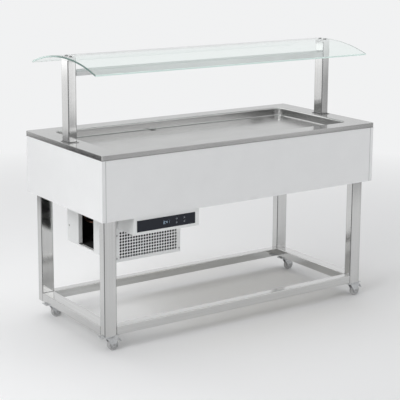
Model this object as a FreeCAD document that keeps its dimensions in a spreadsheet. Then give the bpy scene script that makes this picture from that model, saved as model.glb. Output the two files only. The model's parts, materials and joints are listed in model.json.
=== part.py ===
"""Mobile salad bar: a refrigerated well in a stainless worktop on a white skirt, carried by a
tube frame on four castors, with a curved glass canopy on two posts and a condensing unit hung
under the worktop.

Frame: the origin is on the floor under the middle of the worktop, +X to the right end,
+Y to the back, +Z up. All sizes are in millimetres.
"""
import FreeCAD
import Part
import Sketcher
import math
import os
from types import SimpleNamespace

from FreeCAD import Placement, Rotation, Vector

DRIVING_SIZES = [
    ("bar_width", 1500, "worktop, end to end"),
    ("bar_depth", 700, "worktop, front to back"),
    ("top_level", 870, "worktop surface above the floor"),
    ("top_edge", 21, "folded edge of the worktop"),
    ("top_corner", 9, "worktop corner, in plan"),
    ("top_sheet", 2, "worktop and well sheet"),
    ("well_width", 1300, "well, inside, end to end"),
    ("well_depth", 530, "well, inside, front to back"),
    ("well_drop", 40, "worktop surface to the well floor"),
    ("well_corner", 35, "well corner, in plan"),
    ("lip_wide", 10, "rolled lip around the well"),
    ("lip_round", 8, "rounding of the lip"),
    ("skirt_level", 585, "lower edge of the skirt"),
    ("board", 18, "skirt board"),
    ("foam_level", 789, "underside of the well insulation"),
    ("leg_wide", 60, "leg tube, left to right"),
    ("leg_deep", 40, "leg tube, front to back"),
    ("leg_inset_side", 30, "end of the worktop to the leg"),
    ("leg_inset_front", 40, "front of the worktop to the leg"),
    ("tube_wall", 2, "wall of every tube"),
    ("tube_round", 3, "outer corner of every tube"),
    ("frame_level", 70, "underside of the bottom frame"),
    ("rail_tall", 40, "bottom rail, height"),
    ("top_rail_wide", 30, "top frame tube, width"),
    ("top_rail_tall", 60, "top frame tube, height"),
    ("post_wide", 40, "canopy post, left to right"),
    ("post_deep", 60, "canopy post, front to back"),
    ("post_inset", 20, "end of the worktop to the post"),
    ("post_top", 1228, "top of the canopy post"),
    ("glass_width", 1480, "canopy glass, end to end"),
    ("glass_chord", 578, "canopy glass, front edge to back edge"),
    ("glass_rise", 48, "rise of the canopy arc"),
    ("glass_thick", 8, "canopy glass"),
    ("glass_crest", 1245, "highest line of the glass"),
    ("lamp_level", 1160, "underside of the light housing"),
    ("lamp_tall", 23, "light housing, height"),
    ("unit_left", 600, "middle of the bar to the unit's left side"),
    ("unit_right", 264, "middle of the bar to the unit's right side"),
    ("unit_front", 200, "middle of the bar to the unit's front"),
    ("unit_back", 240, "middle of the bar to the unit's back"),
    ("unit_level", 355, "underside of the condensing unit"),
    ("unit_top", 759, "top of the unit's sides, under the cross tubes"),
    ("unit_sheet", 1.5, "sheet of the unit and control box"),
    ("control_front", 340, "middle of the bar to the control box front"),
    ("control_left", 590, "middle of the bar to the control box's left side"),
    ("control_right", 259, "middle of the bar to the control box's right side"),
    ("control_level", 506, "underside of the control box"),
    ("wheel_radius", 25, "castor wheel"),
    ("castor_trail", 20, "swivel axis to the axle"),
    ("rear_castor", 233, "middle of the bar to the rear castors"),
    ("axle_radius", 3, "castor axle"),
    ("kingpin_radius", 5, "castor swivel bolt"),
    ("running_gap", 0.05, "radial clearance of a running fit"),
    ("drain_side", 133, "middle of the bar to the drain, to the left"),
    ("drain_back", 238, "middle of the bar to the drain, to the back"),
    ("drain_recess", 2.4, "well floor to the recess that the drain sits in"),
    ("drain_seat", 16, "recess of the drain, radius"),
    ("fan_level", 486, "fan axis above the floor"),
]

doc = FreeCAD.newDocument("salad_bar")
sheet = doc.addObject("Spreadsheet::Sheet", "dims")


class Size(float):
    """A length that also keeps the spreadsheet formula it comes from."""

    def __new__(cls, value, formula=None):
        made = super().__new__(cls, value)
        made.formula = formula or repr(float(value))
        return made

    def joined(self, value, left, sign, right):
        """The result of one sum, with its formula."""
        return Size(value, f"({formula_of(left)} {sign} {formula_of(right)})")

    def __add__(self, other):
        return self.joined(float(self) + float(other), self, "+", other)

    def __radd__(self, other):
        return self.joined(float(other) + float(self), other, "+", self)

    def __sub__(self, other):
        return self.joined(float(self) - float(other), self, "-", other)

    def __rsub__(self, other):
        return self.joined(float(other) - float(self), other, "-", self)

    def __mul__(self, other):
        return self.joined(float(self) * float(other), self, "*", other)

    def __rmul__(self, other):
        return self.joined(float(other) * float(self), other, "*", self)

    def __truediv__(self, other):
        return self.joined(float(self) / float(other), self, "/", other)

    def __neg__(self):
        return 0 - self


def formula_of(number):
    """The formula of a Size, or the digits of a plain number."""
    return number.formula if isinstance(number, Size) else repr(float(number))


def fill_sheet():
    """Write the driving sizes to the sheet and return them by name."""
    sizes = SimpleNamespace()
    for row, (name, value, meaning) in enumerate(DRIVING_SIZES, start=1):
        sheet.set(f"A{row}", name)
        sheet.set(f"B{row}", str(value))
        sheet.set(f"C{row}", meaning)
        sheet.setAlias(f"B{row}", name)
        setattr(sizes, name, Size(value, f"dims.{name}"))
    doc.recompute()
    return sizes


d = fill_sheet()
made_parts = []

# ---------------------------------------------------------------- shared building blocks

UP = Rotation()
ALONG_X = Rotation(Vector(0, 1, 0), 90)
ALONG_Y = Rotation(Vector(1, 0, 0), -90)


def bind(item, prop, value):
    """Tie a property to its formula."""
    item.setExpression(prop, formula_of(value))


def place(item, at, turn=UP):
    """Give an object its Placement, with the position tied to the sheet."""
    item.Placement = Placement(Vector(*[float(v) for v in at]), turn)
    for axis, value in zip("xyz", at):
        bind(item, f"Placement.Base.{axis}", value)
    return item


def keep(item, label):
    """Name a finished sub-part; its label is its file's name."""
    item.Label = label
    made_parts.append(item)
    return item


def box(name, low, high):
    """A block from its lowest corner to its highest one."""
    item = doc.addObject("Part::Box", name)
    for prop, start, end in zip(("Length", "Width", "Height"), low, high):
        bind(item, prop, end - start)
    return place(item, low)


def rod(name, radius, length, at, turn=UP):
    """A round bar that starts at a point."""
    item = doc.addObject("Part::Cylinder", name)
    bind(item, "Radius", radius)
    bind(item, "Height", length)
    return place(item, at, turn)


def hexagon(name, across_corners, length, at, turn=UP):
    """A bolt head or nut."""
    item = doc.addObject("Part::Prism", name)
    item.Polygon = 6
    bind(item, "Circumradius", across_corners / 2)
    bind(item, "Height", length)
    return place(item, at, turn)


def fuse(name, pieces):
    """Join pieces that are welded or moulded as one."""
    item = doc.addObject("Part::MultiFuse", name)
    item.Shapes = pieces
    return item


def group(name, pieces):
    """Separate solids that share one node."""
    item = doc.addObject("Part::Compound", name)
    item.Links = pieces
    return item


def cut(name, base, tools):
    """Take the tools out of the base."""
    item = doc.addObject("Part::Cut", name)
    item.Base = base
    item.Tool = tools[0] if len(tools) == 1 else fuse(name + "_tools", tools)
    return item


def new_sketch(body, name, plane):
    """A sketch on one of the body's own origin planes."""
    sketch = body.newObject("Sketcher::SketchObject", name)
    support = [feature for feature in body.Origin.OriginFeatures if feature.Role == plane][0]
    sketch.AttachmentSupport = (support, [""])
    sketch.MapMode = "FlatFace"
    return sketch


def pin_point(sketch, line, end, point):
    """Hold one end of a line at a point given by formulas."""
    for kind, axis, value in (("DistanceX", -2, point[0]), ("DistanceY", -1, point[1])):
        if float(value) == 0:
            sketch.addConstraint(Sketcher.Constraint("PointOnObject", line, end, axis))
        else:
            index = sketch.addConstraint(Sketcher.Constraint(kind, -1, 1, line, end, float(value)))
            sketch.setExpression(f"Constraints[{index}]", formula_of(value))


def draw_polygon(sketch, points):
    """A closed outline of straight lines."""
    vectors = [Vector(float(x), float(y), 0) for x, y in points]
    first = sketch.GeometryCount
    count = len(points)
    for index, start in enumerate(vectors):
        sketch.addGeometry(Part.LineSegment(start, vectors[(index + 1) % count]))
    for index, point in enumerate(points):
        before = first + (index - 1) % count
        sketch.addConstraint(Sketcher.Constraint("Coincident", before, 2, first + index, 1))
        pin_point(sketch, first + index, 1, point)


def rectangle(wide, deep):
    """Corners of a rectangle about the origin."""
    return [(-wide / 2, -deep / 2), (wide / 2, -deep / 2), (wide / 2, deep / 2), (-wide / 2, deep / 2)]


def padded(name, outlines, length, plane="XY_Plane"):
    """A body with one pad, made of one or more closed outlines."""
    body = doc.addObject("PartDesign::Body", name)
    sketch = new_sketch(body, name + "_outline", plane)
    for outline in outlines:
        draw_polygon(sketch, outline)
    pad = body.newObject("PartDesign::Pad", name + "_pad")
    pad.Profile = sketch
    bind(pad, "Length", length)
    body.Tip = pad
    doc.recompute()
    return body


def turned(name, outline):
    """A body turned about its own Z axis from an outline of radius and height."""
    body = doc.addObject("PartDesign::Body", name)
    sketch = new_sketch(body, name + "_outline", "XZ_Plane")
    draw_polygon(sketch, outline)
    turn = body.newObject("PartDesign::Revolution", name + "_turn")
    turn.Profile = sketch
    turn.ReferenceAxis = (sketch, ["V_Axis"])
    turn.Angle = 360
    body.Tip = turn
    doc.recompute()
    return body


def pocket(body, name, outlines, depth):
    """Cut a recess upwards from the body's own XY plane."""
    sketch = new_sketch(body, name + "_outline", "XY_Plane")
    for outline in outlines:
        draw_polygon(sketch, outline)
    recess = body.newObject("PartDesign::Pocket", name)
    recess.Profile = sketch
    recess.Reversed = True
    bind(recess, "Length", depth)
    body.Tip = recess
    doc.recompute()


def round_edges(body, name, radius, wanted):
    """Round the edges of the body's last feature that the test picks."""
    tip = body.Tip
    picked = [f"Edge{i}" for i, edge in enumerate(tip.Shape.Edges, start=1) if wanted(edge)]
    feature = body.newObject("PartDesign::Fillet", name)
    feature.Base = (tip, picked)
    bind(feature, "Radius", radius)
    body.Tip = feature
    doc.recompute()


def is_upright(edge):
    """True for a straight edge along the body's Z."""
    start, end = edge.Vertexes[0].Point, edge.Vertexes[-1].Point
    return abs(start.x - end.x) < 1e-6 and abs(start.y - end.y) < 1e-6 and abs(start.z - end.z) > 1e-3


def lies_at(edge, level):
    """True for an edge that lies flat at one height."""
    bounds = edge.BoundBox
    return abs(bounds.ZMin - level) < 1e-4 and abs(bounds.ZMax - level) < 1e-4


def tube(name, wide, deep, length, at, turn=UP):
    """A rectangular tube with rounded corners, from a point along its turned Z axis."""
    wall = d.tube_wall
    body = padded(name, [rectangle(wide, deep), rectangle(wide - 2 * wall, deep - 2 * wall)], length)
    half_wide, half_deep = float(wide) / 2 - 0.01, float(deep) / 2 - 0.01

    def is_outer(edge):
        point = edge.Vertexes[0].Point
        return is_upright(edge) and abs(point.x) > half_wide and abs(point.y) > half_deep

    round_edges(body, name + "_corners", d.tube_round, is_outer)
    round_edges(body, name + "_bores", d.tube_round - d.tube_wall,
                lambda edge: is_upright(edge) and abs(edge.Vertexes[0].Point.x) < half_wide - 1
                and abs(edge.Vertexes[0].Point.y) < half_deep - 1)
    return place(body, at, turn)


def pipe(name, points, radius, bend, end_bend=None):
    """A solid round line through points, with a tangent arc at each corner; the end ones may be tighter."""
    points = [Vector(*point) for point in points]
    last = len(points) - 2
    edges = []
    start = points[0]
    for index, (before, corner, after) in enumerate(zip(points, points[1:], points[2:]), start=1):
        turn = end_bend if end_bend and index in (1, last) else bend
        back = (before - corner).normalize()
        ahead = (after - corner).normalize()
        half_angle = back.getAngle(ahead) / 2
        reach = turn / math.tan(half_angle)
        arc_middle = corner + (back + ahead).normalize() * (turn / math.sin(half_angle) - turn)
        if (start - (corner + back * reach)).Length > 1e-4:
            edges.append(Part.LineSegment(start, corner + back * reach).toShape())
        edges.append(Part.Arc(corner + back * reach, arc_middle, corner + ahead * reach).toShape())
        start = corner + ahead * reach
    edges.append(Part.LineSegment(start, points[-1]).toShape())
    spine = Part.Wire(edges)
    section = Part.Wire(Part.makeCircle(radius, points[0], points[1] - points[0]))
    item = doc.addObject("Part::Feature", name)
    item.Shape = spine.makePipeShell([section], True, False)
    expected = math.pi * radius * radius * spine.Length
    if abs(item.Shape.Volume - expected) > 0.01 * expected:
        raise RuntimeError(f"{name}: volume {item.Shape.Volume:.0f}, expected {expected:.0f}")
    return item


# ---------------------------------------------------------------- derived levels and places

half_width = d.bar_width / 2
half_depth = d.bar_depth / 2
edge_level = d.top_level - d.top_edge
well_floor = d.top_level - d.well_drop
leg_x = half_width - d.leg_inset_side - d.leg_wide / 2
leg_y = half_depth - d.leg_inset_front - d.leg_deep / 2
post_x = half_width - d.post_inset - d.post_wide / 2
skirt_x = half_width - d.top_sheet
skirt_y = half_depth - d.top_sheet
unit_middle = -(d.unit_left + d.unit_right) / 2
drain_level = well_floor - d.drain_recess
OUTLET_RADIUS = 12
OUTLET_LONG = 50
SIDES = (("left", -1), ("right", 1))
ENDS = (("front", -1), ("back", 1))
MITRE_SPARE = 0.2
FLAT_DEEP = 30


# ---------------------------------------------------------------- worktop and well

def part_of(name, whole, tool):
    """What a body and a tool share."""
    item = doc.addObject("Part::Common", name)
    item.Base, item.Tool = whole, tool
    return item


def check_volume(whole, pieces):
    """Stop if the pieces don't add up to the whole."""
    doc.recompute()
    total = sum(piece.Shape.Volume for piece in pieces)
    if abs(total - whole.Shape.Volume) > 1e-4 * whole.Shape.Volume:
        raise RuntimeError(f"{whole.Label}: pieces hold {total:.0f} of {whole.Shape.Volume:.0f}")


def make_worktop():
    """Folded stainless top with a rolled lip, welded from four borders that are mitred at the corners."""
    name = "worktop"
    body = padded(name + "_body", [rectangle(d.bar_width, d.bar_depth)], d.top_edge)
    inner = rectangle(d.bar_width - 2 * d.top_sheet, d.bar_depth - 2 * d.top_sheet)
    lip = rectangle(d.well_width + 2 * d.lip_wide, d.well_depth + 2 * d.lip_wide)
    pocket(body, "worktop_underside", [inner, lip], d.top_edge - d.top_sheet)
    underside_x = float(d.bar_width) / 2 - float(d.top_sheet)
    round_edges(body, "worktop_fold", d.top_corner - d.top_sheet,
                lambda e: is_upright(e) and abs(abs(e.Vertexes[0].Point.x) - underside_x) < 0.01)
    round_edges(body, "worktop_corners", d.top_corner,
                lambda e: is_upright(e) and abs(e.Vertexes[0].Point.x) > underside_x + 1)
    pocket(body, "worktop_opening", [rectangle(d.well_width, d.well_depth)], d.top_edge + 1)
    opening_x = float(d.well_width) / 2
    round_edges(body, "opening_corners", d.well_corner,
                lambda e: is_upright(e) and abs(abs(e.Vertexes[0].Point.x) - opening_x) < 0.01)
    top = float(d.top_edge)
    inside = opening_x + 1

    def is_lip(edge):
        return lies_at(edge, top) and edge.BoundBox.XMax < inside and edge.BoundBox.XMin > -inside

    round_edges(body, "lip_rounding", d.lip_round, is_lip)
    round_edges(body, "edge_rounding", d.top_sheet * 0.75,
                lambda e: lies_at(e, top) and max(abs(e.BoundBox.XMax), abs(e.BoundBox.XMin)) > inside + 80)
    place(body, (0, 0, edge_level))
    spare_x, spare_y = (d.bar_width - d.well_width) * MITRE_SPARE, (d.bar_depth - d.well_depth) * MITRE_SPARE
    near_x, near_y = d.well_width / 2 - spare_x, d.well_depth / 2 - spare_y
    far_x, far_y = d.bar_width / 2 + spare_x, d.bar_depth / 2 + spare_y
    outlines = [(side, [(near_x * k, -near_y), (far_x * k, -far_y), (far_x * k, far_y), (near_x * k, near_y)])
                for side, k in SIDES]
    outlines += [(end, [(-near_x, near_y * k), (-far_x, far_y * k), (far_x, far_y * k), (near_x, near_y * k)])
                 for end, k in ENDS]
    borders = []
    for side, outline in outlines:
        mitre = place(padded(f"{side}_mitre", [outline], d.top_edge + 2), (0, 0, edge_level - 1))
        borders.append(part_of(f"{side}_border", body, mitre))
    check_volume(body, borders)
    keep(group("borders", borders), name)


def make_well():
    """Shallow tub, welded from a floor with the drain's seat, four walls and four pressed corners."""
    body = padded("well_tub", [rectangle(d.well_width + 2 * d.top_sheet, d.well_depth + 2 * d.top_sheet)],
                  edge_level - well_floor + d.top_sheet)
    round_edges(body, "tub_corners", d.well_corner + d.top_sheet, is_upright)
    round_edges(body, "tub_base", d.lip_round + d.top_sheet, lambda e: lies_at(e, 0))
    place(body, (0, 0, well_floor - d.top_sheet))
    flange = padded("well_flange", [rectangle(d.well_width + 2 * d.lip_wide, d.well_depth + 2 * d.lip_wide)],
                    d.top_sheet)
    round_edges(flange, "flange_corners", d.well_corner + d.lip_wide, is_upright)
    place(flange, (0, 0, edge_level - d.top_sheet))
    inside = padded("well_inside", [rectangle(d.well_width, d.well_depth)], d.well_drop)
    round_edges(inside, "inside_corners", d.well_corner, is_upright)
    round_edges(inside, "inside_base", d.lip_round, lambda e: lies_at(e, 0))
    place(inside, (0, 0, well_floor))
    at = (-d.drain_side, d.drain_back)
    seat = rod("drain_seat_under", d.drain_seat + d.top_sheet, d.drain_recess + d.top_sheet / 2,
               (*at, drain_level - d.top_sheet))
    recess = rod("drain_seat_recess", d.drain_seat, d.drain_recess + 1, (*at, drain_level))
    hole = rod("well_drain_hole", Size(OUTLET_RADIUS), 4 * d.top_sheet, (*at, drain_level - 2 * d.top_sheet))
    shell = cut("well_shell", fuse("well_pressing", [body, flange, seat]), [inside, recess, hole])
    flat_x, flat_y = d.well_width / 2 - d.lip_round, d.well_depth / 2 - d.lip_round
    flat = padded("well_flat", [rectangle(2 * flat_x, 2 * flat_y)], Size(FLAT_DEEP))
    round_edges(flat, "well_flat_corners", d.well_corner - d.lip_round, is_upright)
    place(flat, (0, 0, drain_level - d.top_sheet - 1))
    rim = cut("well_rim", shell, [flat])
    turn_x, turn_y = d.well_width / 2 - d.well_corner, d.well_depth / 2 - d.well_corner
    far_x, far_y = d.well_width / 2 + d.lip_wide + 1, d.well_depth / 2 + d.lip_wide + 1
    low, high = drain_level - d.top_sheet - 1, edge_level + 1
    pieces = [part_of("well_floor_sheet", shell, flat)]
    columns = ((-far_x, -turn_x), (-turn_x, turn_x), (turn_x, far_x))
    rows = ((-far_y, -turn_y), (-turn_y, turn_y), (turn_y, far_y))
    for column, (left, right) in enumerate(columns):
        for row, (front, back) in enumerate(rows):
            if column == row == 1:
                continue
            space = box("well_wall_space", (left, front, low), (right, back, high))
            pieces.append(part_of("well_wall", rim, space))
    check_volume(shell, pieces)
    keep(group("well_pieces", pieces), "cold_well")


def make_insulation():
    """Foam slab under and around the well, with room for the coil, the drain and the legs."""
    foam_x, foam_y = skirt_x - 60, leg_y - 12
    slab = box("foam_slab", (-foam_x, -foam_y, d.foam_level), (foam_x, foam_y, edge_level - d.top_sheet))
    tub = padded("foam_tub_space",
                 [rectangle(d.well_width + 2 * d.top_sheet, d.well_depth + 2 * d.top_sheet)], d.well_drop)
    round_edges(tub, "foam_tub_corners", d.well_corner + d.top_sheet, is_upright)
    place(tub, (0, 0, well_floor - d.top_sheet))
    coil_space = box("foam_coil_space", (Size(-570), Size(-230), well_floor - d.top_sheet - 14),
                     (Size(620), Size(220), well_floor))
    spaces = [tub, coil_space]
    for _, side in SIDES:
        for _, end in ENDS:
            half = (d.leg_wide / 2 + 2, d.leg_deep / 2 + 2)
            low = (side * leg_x - half[0], end * leg_y - half[1], d.foam_level - 1)
            high = (side * leg_x + half[0], end * leg_y + half[1], edge_level)
            spaces.append(box("foam_leg_notch", low, high))
    at = (-d.drain_side, d.drain_back)
    spaces.append(rod("foam_drain_hole", Size(OUTLET_RADIUS), Size(60), (*at, d.foam_level - 1)))
    spaces.append(rod("foam_drain_seat", d.drain_seat + d.top_sheet, Size(10),
                      (*at, drain_level - d.top_sheet)))
    for y in (COIL_SIDE, -COIL_SIDE):
        spaces.append(rod("foam_line_hole", Size(7), Size(60), (Size(COIL_RISER), Size(y), d.foam_level - 1)))
    keep(cut("foam", slab, spaces), "well_insulation")


COIL_RUNS = 6
COIL_PITCH = 70
COIL_LEFT = -500
COIL_RIGHT = 570
COIL_RISER = -545
COIL_RADIUS = 4.5
COIL_SIDE = COIL_PITCH * (COIL_RUNS - 1) / 2
LINE_BEND = 14
LINE_END = 770


def make_evaporator():
    """Serpentine tube against the underside of the well floor, its two ends turned down."""
    level = float(well_floor - d.top_sheet) - COIL_RADIUS
    bend = COIL_PITCH / 2
    points = [(COIL_RISER, -COIL_SIDE, LINE_END), (COIL_RISER, -COIL_SIDE, level)]
    for run in range(COIL_RUNS - 1):
        x = COIL_RIGHT + bend if run % 2 == 0 else COIL_LEFT - bend
        y = -COIL_SIDE + run * COIL_PITCH
        points += [(x, y, level), (x, y + COIL_PITCH, level)]
    points += [(COIL_RISER, COIL_SIDE, level), (COIL_RISER, COIL_SIDE, LINE_END)]
    keep(pipe("evaporator_tube", points, COIL_RADIUS, bend, LINE_BEND), "evaporator_coil")


def make_core_and_skirt():
    """Board under the worktop sheet, the four skirt boards, and the dowels between them."""
    gap = 1
    core = padded("core_board", [rectangle(d.bar_width - 2 * d.top_sheet - 2 * gap,
                                           d.bar_depth - 2 * d.top_sheet - 2 * gap),
                                 rectangle(d.well_width + 2 * d.lip_wide, d.well_depth + 2 * d.lip_wide)],
                  d.top_edge - d.top_sheet)
    corner_x = float(d.bar_width) / 2 - float(d.top_sheet) - gap - 0.01
    round_edges(core, "core_corners", d.top_corner - d.top_sheet,
                lambda e: is_upright(e) and abs(e.Vertexes[0].Point.x) > corner_x)
    place(core, (0, 0, edge_level))

    dowels = []

    def dowel(x, y):
        peg = rod("dowel", Size(4), Size(28), (x, y, edge_level - 16))
        dowels.append(peg)
        return peg

    seam = 0.5
    for side_name, side in SIDES:
        outer = side * skirt_x
        inner = side * (skirt_x - d.board)
        low_x, high_x = (outer, inner) if side < 0 else (inner, outer)
        board = box(f"{side_name}_board", (low_x, -skirt_y, d.skirt_level), (high_x, skirt_y, edge_level))
        pegs = [dowel(side * (skirt_x - d.board / 2), Size(y)) for y in (-250, 0, 250)]
        keep(cut(f"{side_name}_board_drilled", board, pegs), f"{side_name}_panel")
    for end_name, end in ENDS:
        outer = end * skirt_y
        inner = end * (skirt_y - d.board)
        low_y, high_y = (outer, inner) if end < 0 else (inner, outer)
        reach = skirt_x - d.board - seam
        board = box(f"{end_name}_board", (-reach, low_y, d.skirt_level), (reach, high_y, edge_level))
        pegs = [dowel(Size(x), end * (skirt_y - d.board / 2)) for x in (-600, -300, 0, 300, 600)]
        keep(cut(f"{end_name}_board_drilled", board, pegs), f"{end_name}_panel")
    keep(cut("core_drilled", core, dowels), "worktop_core")
    keep(group("dowels", dowels), "panel_dowels")


# ---------------------------------------------------------------- frame

def make_legs():
    """Four tube legs, each closed by a welded cap; the front caps take the castor bolts."""
    for end_name, end in ENDS:
        for side_name, side in SIDES:
            name = f"leg_{end_name}_{side_name}"
            x, y = side * leg_x, end * leg_y
            body = tube(name + "_tube", d.leg_wide, d.leg_deep, edge_level - d.frame_level,
                        (x, y, d.frame_level))
            inner_x, inner_y = d.leg_wide / 2 - d.tube_wall, d.leg_deep / 2 - d.tube_wall
            cap = box(name + "_cap", (x - inner_x + 1, y - inner_y + 1, d.frame_level),
                      (x + inner_x - 1, y + inner_y - 1, d.frame_level + d.tube_wall))
            weld = box(name + "_weld", (x - inner_x - 0.5, y - inner_y + 2, d.frame_level),
                       (x + inner_x + 0.5, y + inner_y - 2, d.frame_level + d.tube_wall))
            leg = fuse(name + "_welded", [body, cap, weld])
            if end < 0:
                hole = rod(name + "_hole", d.kingpin_radius, Size(10), (x, y, d.frame_level - 5))
                leg = cut(name + "_drilled", leg, [hole])
            keep(leg, name)


def make_bottom_rails():
    """Two long and two short rails between the legs, flush with their feet."""
    level = d.frame_level + d.rail_tall / 2
    for end_name, end in ENDS:
        reach = leg_x - d.leg_wide / 2
        keep(tube(f"{end_name}_rail_tube", d.rail_tall, d.leg_deep, 2 * reach,
                  (-reach, end * leg_y, level), ALONG_X), f"bottom_rail_{end_name}")
    for side_name, side in SIDES:
        reach = leg_y - d.leg_deep / 2
        rail = tube(f"{side_name}_rail_tube", d.leg_wide, d.rail_tall, 2 * reach,
                    (side * leg_x, -reach, level), ALONG_Y)
        hole = rod(f"{side_name}_rail_hole", d.kingpin_radius, Size(10),
                   (side * leg_x, d.rear_castor, d.frame_level - 5))
        keep(cut(f"{side_name}_rail_drilled", rail, [hole]), f"bottom_rail_{side_name}")


HANGER_SIDES = (-581, -279, 150, 560)


def make_top_frame():
    """Tubes under the worktop between the legs, and the cross tubes that carry the well and unit."""
    middle = edge_level - d.top_rail_tall / 2
    wide = d.top_rail_wide
    tubes = []
    for end_name, end in ENDS:
        reach = leg_x - d.leg_wide / 2
        y = end * (leg_y + d.leg_deep / 2 - wide / 2)
        tubes.append(tube(f"top_{end_name}_tube", d.top_rail_tall, wide, 2 * reach,
                          (-reach, y, middle), ALONG_X))
    for side_name, side in SIDES:
        reach = leg_y - d.leg_deep / 2
        x = side * (leg_x + d.leg_wide / 2 - wide / 2)
        tubes.append(tube(f"top_{side_name}_tube", wide, d.top_rail_tall, 2 * reach,
                          (x, -reach, middle), ALONG_Y))
    reach = leg_y + d.leg_deep / 2
    for index, x in enumerate(HANGER_SIDES, start=1):
        tubes.append(tube(f"cross_tube_{index}", wide, wide, 2 * reach,
                          (Size(x), -reach, d.foam_level - wide / 2), ALONG_Y))
    keep(group("top_frame_tubes", tubes), "top_frame")


# ---------------------------------------------------------------- castors

PLATE_LONG = 84
PLATE_THICK = 4
RACE_RADIUS = 18
RACE_THICK = 4
FORK_GAP = 0.2
FORK_DISC = 3.8
CHEEK_INSIDE = 11
CHEEK_THICK = 2
PIVOT_X = 34
PIVOT_Z = 54
PIVOT_RADIUS = 2
race_bottom = d.frame_level - PLATE_THICK - RACE_THICK
fork_top = race_bottom - FORK_GAP
fork_bottom = fork_top - FORK_DISC


def castor_places():
    """Name and swivel axis of each castor; the rear ones sit under the side rails."""
    for side_name, side in SIDES:
        yield f"front_{side_name}", side * leg_x, -leg_y
        yield f"rear_{side_name}", side * leg_x, d.rear_castor


def make_castor_mount(name, x, y):
    """Plate, race and swivel bolt of one castor, with the nut inside the tube."""
    bore = d.kingpin_radius
    plate = box(name + "_plate", (x - PLATE_LONG / 2, y - d.leg_deep / 2, d.frame_level - PLATE_THICK),
                (x + PLATE_LONG / 2, y + d.leg_deep / 2, d.frame_level))
    race = rod(name + "_race", Size(RACE_RADIUS), Size(RACE_THICK + 0.5), (x, y, race_bottom))
    shank = rod(name + "_shank", bore, Size(30), (x, y, fork_bottom - 2))
    head = hexagon(name + "_head", Size(16), Size(4), (x, y, fork_bottom - 4 - FORK_GAP))
    nut = hexagon(name + "_nut", Size(18), Size(8), (x, y, d.frame_level + d.tube_wall))
    return fuse(name + "_mount", [plate, race, shank, head, nut])


def make_fork(name, x, y):
    """Pressed swivel fork: a disc under the race and two cheeks down to the axle."""
    disc = rod(name + "_disc", Size(20), Size(FORK_DISC), (x, y, fork_bottom))
    bridge = box(name + "_bridge", (x - 4, y - CHEEK_INSIDE - CHEEK_THICK, fork_bottom),
                 (x + 37, y + CHEEK_INSIDE + CHEEK_THICK, fork_top))
    axle_x, axle_z = d.castor_trail, d.wheel_radius
    outline = [(Size(-16), fork_top), (axle_x - 9, axle_z - 4), (axle_x - 4, axle_z - 9),
               (axle_x + 4, axle_z - 9), (axle_x + 9, axle_z - 4), (Size(38), Size(48)), (Size(38), fork_top)]
    cheeks = []
    for start in (-CHEEK_INSIDE, CHEEK_INSIDE + CHEEK_THICK):
        cheek = padded(name + "_cheek", [outline], Size(CHEEK_THICK), "XZ_Plane")
        cheeks.append(place(cheek, (x, y + start, 0)))
    wheel_space = rod(name + "_tyre_space", d.wheel_radius + 2.5, Size(2 * CHEEK_INSIDE),
                      (x + axle_x, y - CHEEK_INSIDE, axle_z), ALONG_Y)
    swivel_bore = rod(name + "_bore", d.kingpin_radius + d.running_gap, Size(20), (x, y, fork_bottom - 5))
    across = 2 * (CHEEK_INSIDE + CHEEK_THICK) + 2
    axle_bore = rod(name + "_axle_bore", d.axle_radius, Size(across),
                    (x + axle_x, y - across / 2, axle_z), ALONG_Y)
    pivot_bore = rod(name + "_pivot_bore", PIVOT_RADIUS + d.running_gap, Size(across),
                     (x + PIVOT_X, y - across / 2, Size(PIVOT_Z)), ALONG_Y)
    solid = fuse(name + "_pressing", [disc, bridge] + cheeks)
    keep(cut(name + "_fork", solid, [wheel_space, swivel_bore, axle_bore, pivot_bore]), f"castor_fork_{name}")


def make_wheel(name, x, y):
    """Grey wheel with a round tread and a boss that fills the fork."""
    radius, bore = d.wheel_radius, d.axle_radius + d.running_gap
    outline = [(bore, Size(-10.5)), (Size(7), Size(-10.5)), (Size(7), Size(-6)), (radius - 9, Size(-6)),
               (radius - 7, Size(-9)), (radius - 2, Size(-9)), (radius, Size(-6)), (radius, Size(6)),
               (radius - 2, Size(9)), (radius - 7, Size(9)), (radius - 9, Size(6)), (Size(7), Size(6)),
               (Size(7), Size(10.5)), (bore, Size(10.5))]
    wheel = turned(name + "_wheel", outline)
    keep(place(wheel, (x + d.castor_trail, y, d.wheel_radius), ALONG_Y), f"castor_wheel_{name}")


def make_axle(name, x, y):
    """Axle bolt with its head at the front cheek and its nut at the back one."""
    outer = CHEEK_INSIDE + CHEEK_THICK
    at_x, at_z = x + d.castor_trail, d.wheel_radius
    shank = rod(name + "_axle_shank", d.axle_radius, Size(2 * outer + 4),
                (at_x, y - outer - 1, at_z), ALONG_Y)
    head = hexagon(name + "_axle_head", Size(11), Size(3), (at_x, y - outer - 3, at_z), ALONG_Y)
    nut = hexagon(name + "_axle_nut", Size(11), Size(3), (at_x, y + outer, at_z), ALONG_Y)
    keep(fuse(name + "_axle", [shank, head, nut]), f"castor_axle_{name}")


def make_brake(name, x, y):
    """Foot lever with its pin and the shoe that it turns against the tread."""
    half = 10.5
    outline = [(-3, 2.6), (10, 2.6), (24, -17), (22, -19.5), (9, -2), (6.5, -7), (4, -7.3), (-3, -1.5)]
    lever = padded(name + "_lever", [[(Size(px + PIVOT_X), Size(pz + PIVOT_Z)) for px, pz in outline]],
                   Size(2 * half), "XZ_Plane")
    place(lever, (x, y + half, 0))
    across = 2 * (CHEEK_INSIDE + CHEEK_THICK)
    pin = rod(name + "_lever_pin", Size(PIVOT_RADIUS), Size(across),
              (x + PIVOT_X, y - across / 2, Size(PIVOT_Z)), ALONG_Y)
    keep(fuse(name + "_brake", [lever, pin]), f"brake_lever_{name}")


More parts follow.
